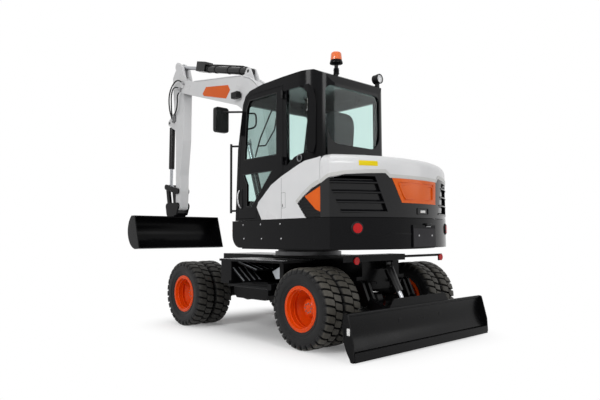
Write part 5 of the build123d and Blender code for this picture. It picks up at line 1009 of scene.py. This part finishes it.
# boom: a blank badge on each side; arm cylinder: bands and steel lines
boomSpec = {
    "badge": [(2.170, 3.220), (2.076, 3.307), (1.513, 3.221), (1.464, 3.139), (1.560, 3.036), (2.129, 3.181)],
    "badgeY": 0.1095, "badgeDepth": 0.004,
    "cylinderBase": (1.120, 0.0, 3.345), "cylinderEye": (2.975, 0.0, 3.832), "cylinderRadius": 0.052,
    "bands": (0.22, 0.52, 0.86, 1.06),      # distances from the cylinder's base
    # along the barrel and out of it, then along it and above its axis
    "band": [(-0.012, -0.001), (-0.012, 0.005), (0.012, 0.005), (0.012, -0.001)],
    "line": [(0.10, 0.050), (0.14, 0.064), (0.24, 0.066), (1.04, 0.066), (1.12, 0.056)],
    "lineY": 0.030, "lineRadius": 0.0075,
}


def dressArmCylinder(spec):
    # bands are turned about the barrel's axis, and the two lines run along its top
    base, eye = np.array(spec["cylinderBase"]), np.array(spec["cylinderEye"])
    axis = (eye - base) / np.linalg.norm(eye - base)
    up = np.cross((0.0, -1.0, 0.0), axis)
    section = np.asarray(spec["band"]) + (0, spec["cylinderRadius"])
    bands = [turned(section, base + s * axis, axis, closed=True) for s in spec["bands"]]
    addPiece("armCylinderBands", merged(*bands), "trim_black", "arm_cylinder_tube", sharp=30)
    along, above = np.asarray(spec["line"]).T[:, :, None]
    lines = [base + along * axis + above * up + (0, side * spec["lineY"], 0) for side in (1, -1)]
    addBar("armCylinderLines", lines, spec["lineRadius"], "cylinder_black", "arm_cylinder_tube",
           smooth=True)


for name, side in (("boomBadge", 1), ("boomBadge_right", -1)):
    badge = sideSlab(boomSpec["badge"], -side * boomSpec["badgeDepth"], (0, side * boomSpec["badgeY"], 0))
    addPiece(name, badge, "panel_orange", "boom", bevel=0.0015)
dressArmCylinder(boomSpec)
print("boom dressed")

# steps: grip strips on the ribs of the treads, light as worn steel and partly as painted highlight; studs on
# the top plate, partly painted highlight; gussets beside it, light as painted reflection
stepSpec = {
    "treads": [((0.240, 0.735), (0.030, 0.590)), ((0.135, 0.800), (-0.195, 0.722))],
    "ribRise": 0.007, "stripHalf": 0.008, "stripEnd": 0.004, "stripDepth": 0.003,
    "ribsY": np.linspace(0.706, 0.934, 4),
    "plateTop": 0.832, "studsX": np.arange(-0.640, 0.425, 0.030),
    "studsY": (0.972, 0.940, 0.908, 0.560, 0.528),
    "stud": [(-0.001, 0), (-0.001, 0.0085), (0.0035, 0.0060), (0.0035, 0)],
    "gusset": [(-0.448, 0.776), (-0.292, 0.706), (-0.352, 0.630), (-0.448, 0.640)], "gussetY": 0.800,
    "gussetDepth": 0.006,
}


def treadGrips(spec):
    # a thin strip along every rib: start + x along + y across, raised by the rib's height
    strips = []
    for (frontX, frontZ), (rearX, rearZ) in spec["treads"]:
        along = np.array((rearX - frontX, 0.0, rearZ - frontZ))
        length = np.linalg.norm(along)
        along /= length
        lift = np.array((along[2], 0.0, -along[0]))
        half, near, far = spec["stripHalf"], spec["stripEnd"], length - spec["stripEnd"]
        outline = [(near, -half), (far, -half), (far, half), (near, half)]
        for y in spec["ribsY"]:
            for side in (1, -1):
                start = np.array((frontX, side * y, frontZ)) + spec["ribRise"] * lift
                strips.append(slab(outline, spec["stripDepth"], start, along, np.cross(lift, along)))
    return merged(*strips)


# painted highlight: the strips' light metal partly stands for the highlights on the ribs, partly for worn
# steel
addPiece("treadGrips", treadGrips(stepSpec), "grip_wear_and_sheen", "undercarriage", bevel=0.001)
# grip studs on the top plate; their light steel partly stands for the dotted highlights on the plate's teeth,
# as painted highlight
spotsX, spotsY = np.meshgrid(stepSpec["studsX"], np.outer((1, -1), stepSpec["studsY"]).ravel())
studSpots = np.stack([spotsX.ravel(), spotsY.ravel(), np.full(spotsX.size, stepSpec["plateTop"])], axis=1)
addPiece("stepStuds", repeated(turned(stepSpec["stud"], (0, 0, 0), (0, 0, 1), 8), studSpots), "bolt_steel",
         "undercarriage")
# painted reflection: the gussets' light metal stands for the bright reflection on plates that face up
gussets = [sideSlab(stepSpec["gusset"], -side * stepSpec["gussetDepth"], (0, side * stepSpec["gussetY"], 0))
           for side in (1, -1)]
addPiece("stepGussets", merged(*gussets), "grip_wear_and_sheen", "undercarriage", bevel=0.0015)
print("steps dressed")

# cab: printed borders of the panes, a dark band behind the quarter pane as painted shade of the cab's inside,
# and a wiper
cabSpec = {
    "sideY": 0.9175, "frit": 0.0015, "overlap": 0.012,
    "corners": {
        # the corner and its two neighbours as (x, z), then the radius
        "quarterTop": ((-0.985, 2.560), (-0.960, 1.905), (-0.672, 2.560), 0.150),
        "quarterFront": ((-0.672, 2.560), (-0.985, 2.560), (-0.672, 1.790), 0.045),
        "quarterFoot": ((-0.672, 1.790), (-0.672, 2.560), (-0.790, 1.868), 0.030),
    },
    "doorCorners": {
        "topFront": ((-0.056, 2.574), (-0.520, 2.574), (0.000, 2.480), 0.120),
        "frontLow": ((0.036, 1.915), (0.000, 2.480), (-0.520, 1.915), 0.050),
        "rearLow": ((-0.520, 1.915), (-0.520, 2.574), (0.036, 1.915), 0.040),
        "rearTop": ((-0.520, 2.574), (-0.520, 1.915), (-0.056, 2.574), 0.040),
        "lowFoot": ((-0.105, 1.392), (0.000, 1.400), (-0.455, 1.767), 0.060),
        "lowToe": ((0.000, 1.400), (-0.105, 1.392), (0.000, 1.640), 0.035),
        "lowRear": ((-0.455, 1.767), (-0.105, 1.392), (0.066, 1.765), 0.030),
        "lowFront": ((0.066, 1.765), (-0.455, 1.767), (0.000, 1.640), 0.025),
    },
    "rearPane": {"x": -1.1197, "y": (0.000, 0.800), "hole": (0.012, 0.788), "foot": 1.870, "sill": 1.985,
                 "radius": 0.150, "depth": 0.0025},
    "quarterShadeBand": [(-0.992, 2.570), (-0.968, 1.905), (-1.060, 1.880), (-1.092, 1.960), (-1.098, 2.380),
                    (-1.060, 2.520)],
    "bandY": 0.9295, "bandDepth": 0.002,
    "wiper": [[(0.150, 0.690, 1.990), (0.118, 0.640, 2.210), (0.020, 0.520, 2.590)],
              [(0.135, 0.655, 2.120), (0.120, 0.560, 2.135), (0.105, 0.440, 2.330), (0.012, 0.450, 2.600)]],
    "wiperRadius": 0.009,
}


def cornerFill(corner, before, after, radius, steps=9):
    # from the corner to the arc that is tangent to both edges: centre = C + (u + v) r / (|u + v| sin(half))
    corner, before, after = (np.asarray(p, float) for p in (corner, before, after))
    u, v = ((p - corner) / np.linalg.norm(p - corner) for p in (before, after))
    half = math.acos(float(np.clip(u @ v, -1, 1))) / 2
    inwards = (u + v) / np.linalg.norm(u + v)
    centre = corner + inwards * radius / math.sin(half)
    onU, onV = (corner + w * radius / math.tan(half) for w in (u, v))
    t = np.linspace(0, 1, steps)[:, None]
    chord = (1 - t) * (onU - centre) + t * (onV - centre)
    arc = centre + radius * chord / np.linalg.norm(chord, axis=1)[:, None]
    lap = cabSpec["overlap"]
    return np.concatenate([[corner - lap * inwards, onU - lap * v], arc, [onV - lap * u]])


def fritShape(corners, spec):
    return merged(*(sideSlab(cornerFill(*c), spec["frit"], (0, spec["sideY"], 0)) for c in corners.values()))


def rearFrit(look):
    # a band under the rear pane whose upper edge rises to both sides in quarter circles
    t = np.linspace(0, np.pi / 2, 10)
    (left, right), (holeLow, holeHigh) = look["y"], look["hole"]
    sweep = look["radius"] * np.stack([1 - np.sin(t), 1 - np.cos(t)], axis=1)
    sillRight = np.stack([holeHigh - sweep[:, 0], look["sill"] + sweep[:, 1]], axis=1)[::-1]
    sillLeft = np.stack([holeLow + sweep[:, 0], look["sill"] + sweep[:, 1]], axis=1)
    outline = np.concatenate([[(left, look["foot"]), (right, look["foot"]), (right, sillRight[0, 1])],
                              sillRight, sillLeft, [(left, sillLeft[-1, 1])]])
    return rearSlab(outline, -look["depth"], (look["x"], 0, 0))


addPiece("quarterFrit", fritShape(cabSpec["corners"], cabSpec), "body_black", "upper")
addPiece("doorFrit", fritShape(cabSpec["doorCorners"], cabSpec), "body_black", "cab_door")
addPiece("rearFrit", rearFrit(cabSpec["rearPane"]), "pane_black", "upper", bevel=0.0008)
# painted shade: a dark sheet behind the quarter pane stands for the shaded inside of the cab
addPiece("quarterShadeBand", sideSlab(cabSpec["quarterShadeBand"], -cabSpec["bandDepth"], (0, cabSpec["bandY"], 0)),
         "pane_black", "upper", bevel=0.0008)
addBar("wiper", cabSpec["wiper"], cabSpec["wiperRadius"], "trim_black", "upper")

# seat: a boxed foot and two crowned cushions
seatSpec = {
    # middle, half sizes, tilt about the cross axis in degrees
    "cushion": {"at": (-0.620, 0.400, 1.662), "half": (0.262, 0.250, 0.068), "tilt": -3.0},
    "back": {"at": (-0.856, 0.400, 2.030), "half": (0.062, 0.225, 0.345), "tilt": -6.0},
    "base": {"at": (-0.620, 0.400, 1.297), "size": (0.360, 0.380, 0.040), "height": 0.302},
    "power": 0.42, "fill": 0.7,
}


def cushionShape(look, power, rows=17, columns=32):
    # superellipsoid: x = a c(v) c(u), y = b c(v) s(u), z = h s(v), each power |.|^e with its sign, then tilted
    v = np.linspace(-np.pi / 2, np.pi / 2, rows)[:, None]
    u = np.linspace(0, 2 * np.pi, columns, endpoint=False)[None, :]
    cosU, sinU, sinV = (np.sign(w) * np.abs(w) ** power for w in (np.cos(u), np.sin(u), np.sin(v)))
    cosV = np.abs(np.cos(v)) ** power
    cosV[0] = cosV[-1] = 0
    pad = np.stack([cosV * cosU, cosV * sinU, sinV * np.ones_like(u)], axis=-1).reshape(-1, 3) * look["half"]
    a = math.radians(look["tilt"])
    turn = np.array(((math.cos(a), 0, math.sin(a)), (0, 1, 0), (-math.sin(a), 0, math.cos(a))))
    return pad @ turn.T + look["at"], gridFaces(rows, columns)


base = seatSpec["base"]
seatBase = addPiece("seatBase", slab(roundedOutline(*base["size"]), base["height"], base["at"], (1, 0, 0),
                                     (0, 1, 0)), "trim_black", "upper", bevel=0.004)
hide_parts("seat")
for name in ("cushion", "back"):
    pad = addPiece(f"seat_{name}", cushionShape(seatSpec[name], seatSpec["power"]), "seat_fabric", "upper",
                   sharp=180)
    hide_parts("seat")

# rings on the rims and bolts round the hub's cap
ringSpec = {
    "lock": [(-0.004, 0.1870), (-0.004, 0.2160), (0.0030, 0.2160), (0.0045, 0.2130), (0.0045, 0.2060),
             (0.0012, 0.2040), (0.0012, 0.2000), (0.0050, 0.1980), (0.0058, 0.1930), (0.0040, 0.1872)],
    "well": [(-0.0080, 0.1830), (-0.0060, 0.1765), (0.0, 0.1745), (0.0060, 0.1765), (0.0080, 0.1830)],
    "flangeY": 1.014, "wellDepths": (0.036, 0.092), "capY": 0.9055, "capBolts": 8, "capCircle": 0.042,
    "capBolt": (0.0075, 0.005),
}
for wheel, axleX, side, dusty in tyreSpec["wheels"]:
    out = (0, side, 0)
    profiles = [(ringSpec["lock"], 0.0)] + [(ringSpec["well"], depth) for depth in ringSpec["wellDepths"]]
    rings = [turned(profile, (axleX, side * (ringSpec["flangeY"] - depth), tyreSpec["axleHeight"]), out,
                    count=56, closed=True) for profile, depth in profiles]
    addPiece(f"lockRings_{wheel}", merged(*rings), "rim_orange", f"wheel_{wheel}", sharp=28)
    spots = roundAxle(ringSpec["capCircle"], ringSpec["capBolts"], axleX, side * ringSpec["capY"])
    addPiece(f"capBolts_{wheel}", repeated(boltHead(*ringSpec["capBolt"], out), spots), "ring_steel",
             f"wheel_{wheel}")
print("cab and wheels dressed")

# badge frame on the orange tail panel, plate sheet, cap ring and the pipes along the boom
trimSpec = {
    "badge": {"y": (-0.280, 0.252), "z": (1.432, 1.584), "slant": 0.083, "corner": 0.030, "width": 0.013,
              "base": 1.5940, "rise": 0.0135},
    "plateSheet": [(-0.252, 0.970), (0.107, 0.970), (0.107, 1.150), (-0.252, 1.150)],
    "plateX": -1.6115, "plateDepth": 0.0022,
    "fuelCap": (-0.874, 0.9415, 1.846),
    "capRing": [(-0.002, 0.0260), (-0.002, 0.0375), (0.003, 0.0380), (0.0045, 0.0340), (0.0045, 0.0290),
                (0.002, 0.0260)],
}
pipeSpec = {
    "knee": [(0.752, 2.850), (0.884, 3.095), (1.120, 3.243)], "foot": (0.430, 1.300), "footAt": 0.42,
    "back": [(1.244, 3.286), (2.360, 3.446), (2.430, 3.456)], "lift": 0.013, "radius": 0.0085,
    "sides": (0.098, 0.076, -0.076, -0.098),
    "clips": np.linspace(0.10, 0.90, 5), "clipY": 0.083, "clipSize": (0.026, 0.052, 0.004), "clipDepth": 0.026,
}


def badgeFrame(spec):
    # a slanted rounded rectangle in arc length s and height z, laid on the tail's cylinder:
    # ((R + h) cos a, (R + h) sin a, z) with a = pi - s / (R + h)
    y0, y1 = spec["y"]
    z0, z1 = spec["z"]
    loops = []
    for inset, high in ((0.0, 0), (0.0, 1), (spec["width"], 1), (spec["width"], 0)):
        ring = roundedOutline(y1 - y0 - 2 * inset, z1 - z0 - 2 * inset, spec["corner"] - inset, 6)
        left = np.clip(ring[:, 0] / (y1 - y0) + 0.5, 0, 1)
        z = (z0 + z1) / 2 + ring[:, 1]
        s = (y0 + y1) / 2 + ring[:, 0] + spec["slant"] * left * ((z - z0) / (z1 - z0) - 0.5)
        r = spec["base"] + high * spec["rise"]
        a = np.pi - s / r
        loops.append(np.stack([r * np.cos(a), r * np.sin(a), z], axis=1))
    return np.concatenate(loops), gridFaces(4, len(loops[0]), wrapRows=True)


def squareTo(start, end):
    # unit vector square to the way from start to end, on its left
    way = np.asarray(end) - np.asarray(start)
    return np.array((-way[1], way[0])) / np.linalg.norm(way)


def pipePaths(spec):
    # up the boom's back, round the knee on a circle widened by the lift, and along the top
    centre, radius = circleThrough(*spec["knee"])
    arc = centre + (radius + spec["lift"]) * arcBetween(centre, spec["knee"][0], spec["knee"][2], 14)
    foot, knee, back = (np.array(spec[k]) for k in ("foot", "knee", "back"))
    start = foot + spec["footAt"] * (knee[0] - foot) + spec["lift"] * squareTo(foot, knee[0])
    line = np.concatenate([[start], arc, back + spec["lift"] * squareTo(back[0], back[1])])
    return [np.stack([line[:, 0], np.full(len(line), y), line[:, 1]], axis=1) for y in spec["sides"]]


def pipeClips(spec):
    # blocks over both pairs of pipes, at even shares of the boom's straight back
    start, end = (np.array((x, 0.0, z)) for x, z in spec["back"][:2])
    along = (end - start) / np.linalg.norm(end - start)
    outline = roundedOutline(*spec["clipSize"])
    spots = [start + t * (end - start) + (0, side * spec["clipY"], 0)
             for t in spec["clips"] for side in (1, -1)]
    return merged(*(slab(outline, -spec["clipDepth"], spot, along, (0, 1, 0)) for spot in spots))


addPiece("tailBadgeFrame", badgeFrame(trimSpec["badge"]), "panel_orange", "tail_cover",
         sharp=50, bevel=0.002)
addPiece("plateSheet", rearSlab(trimSpec["plateSheet"], -trimSpec["plateDepth"], (trimSpec["plateX"], 0, 0)),
         "plate_grey", "upper", bevel=0.0008)
addPiece("fuelCapRing", turned(trimSpec["capRing"], trimSpec["fuelCap"], (0, 1, 0), 36, closed=True),
         "ring_steel", "upper", sharp=40)
addBar("boomPipes", pipePaths(pipeSpec), pipeSpec["radius"], "body_white", "boom")
addPiece("pipeClips", pipeClips(pipeSpec), "body_white", "boom", bevel=0.002)
print("trim added")

# pale floor that keeps the shadow and fades to plain white away from the machine
floorSpec = {
    "size": 60.0, "colour": (0.93, 0.93, 0.93), "rough": 0.9, "specular": 0.1,
    "kept": (1.15, 0.60, 1.0),      # half sizes of the box under the machine where the floor stays
    # distance from that box, and the share of white there
    "fade": {"From Min": 0.0, "From Max": 1.0, "To Min": 0.12, "To Max": 1.0},
}


def layFloor(spec):
    half = spec["size"] / 2
    mesh = bpy.data.meshes.new("studioFloor")
    corners = [(-half, -half, 0), (half, -half, 0), (half, half, 0), (-half, half, 0)]
    mesh.from_pydata(corners, [], [(0, 1, 2, 3)])
    floor = bpy.data.objects.new("studioFloor", mesh)
    bpy.context.scene.collection.objects.link(floor)
    finish, tree, shader = newFinish("studioFloor")
    shader.inputs["Base Color"].default_value = (*spec["colour"], 1)
    shader.inputs["Roughness"].default_value = spec["rough"]
    shader.inputs["Specular IOR Level"].default_value = spec["specular"]
    white = tree.nodes.new("ShaderNodeEmission")
    white.inputs["Strength"].default_value = 1.0
    # distance from the box under the machine: length(max(|p| - kept, 0))
    source = tree.nodes.new("ShaderNodeTexCoord").outputs["Object"]
    steps = (("ABSOLUTE", None), ("SUBTRACT", spec["kept"]), ("MAXIMUM", (0, 0, 0)), ("LENGTH", None))
    for operation, other in steps:
        step = tree.nodes.new("ShaderNodeVectorMath")
        step.operation = operation
        tree.links.new(source, step.inputs[0])
        if other:
            step.inputs[1].default_value = other
        source = step.outputs["Value" if operation == "LENGTH" else "Vector"]
    fade = tree.nodes.new("ShaderNodeMapRange")
    fade.interpolation_type = "SMOOTHSTEP"
    for label, value in spec["fade"].items():
        fade.inputs[label].default_value = value
    tree.links.new(source, fade.inputs["Value"])
    factor = mathNode(tree, "MULTIPLY", fade.outputs["Result"], seenPlain(tree))
    blendShaders(tree, factor, shader.outputs[0], white.outputs[0], tree.nodes["Material Output"])
    mesh.materials.append(finish)
    return floor


layFloor(floorSpec)
print("floor laid")
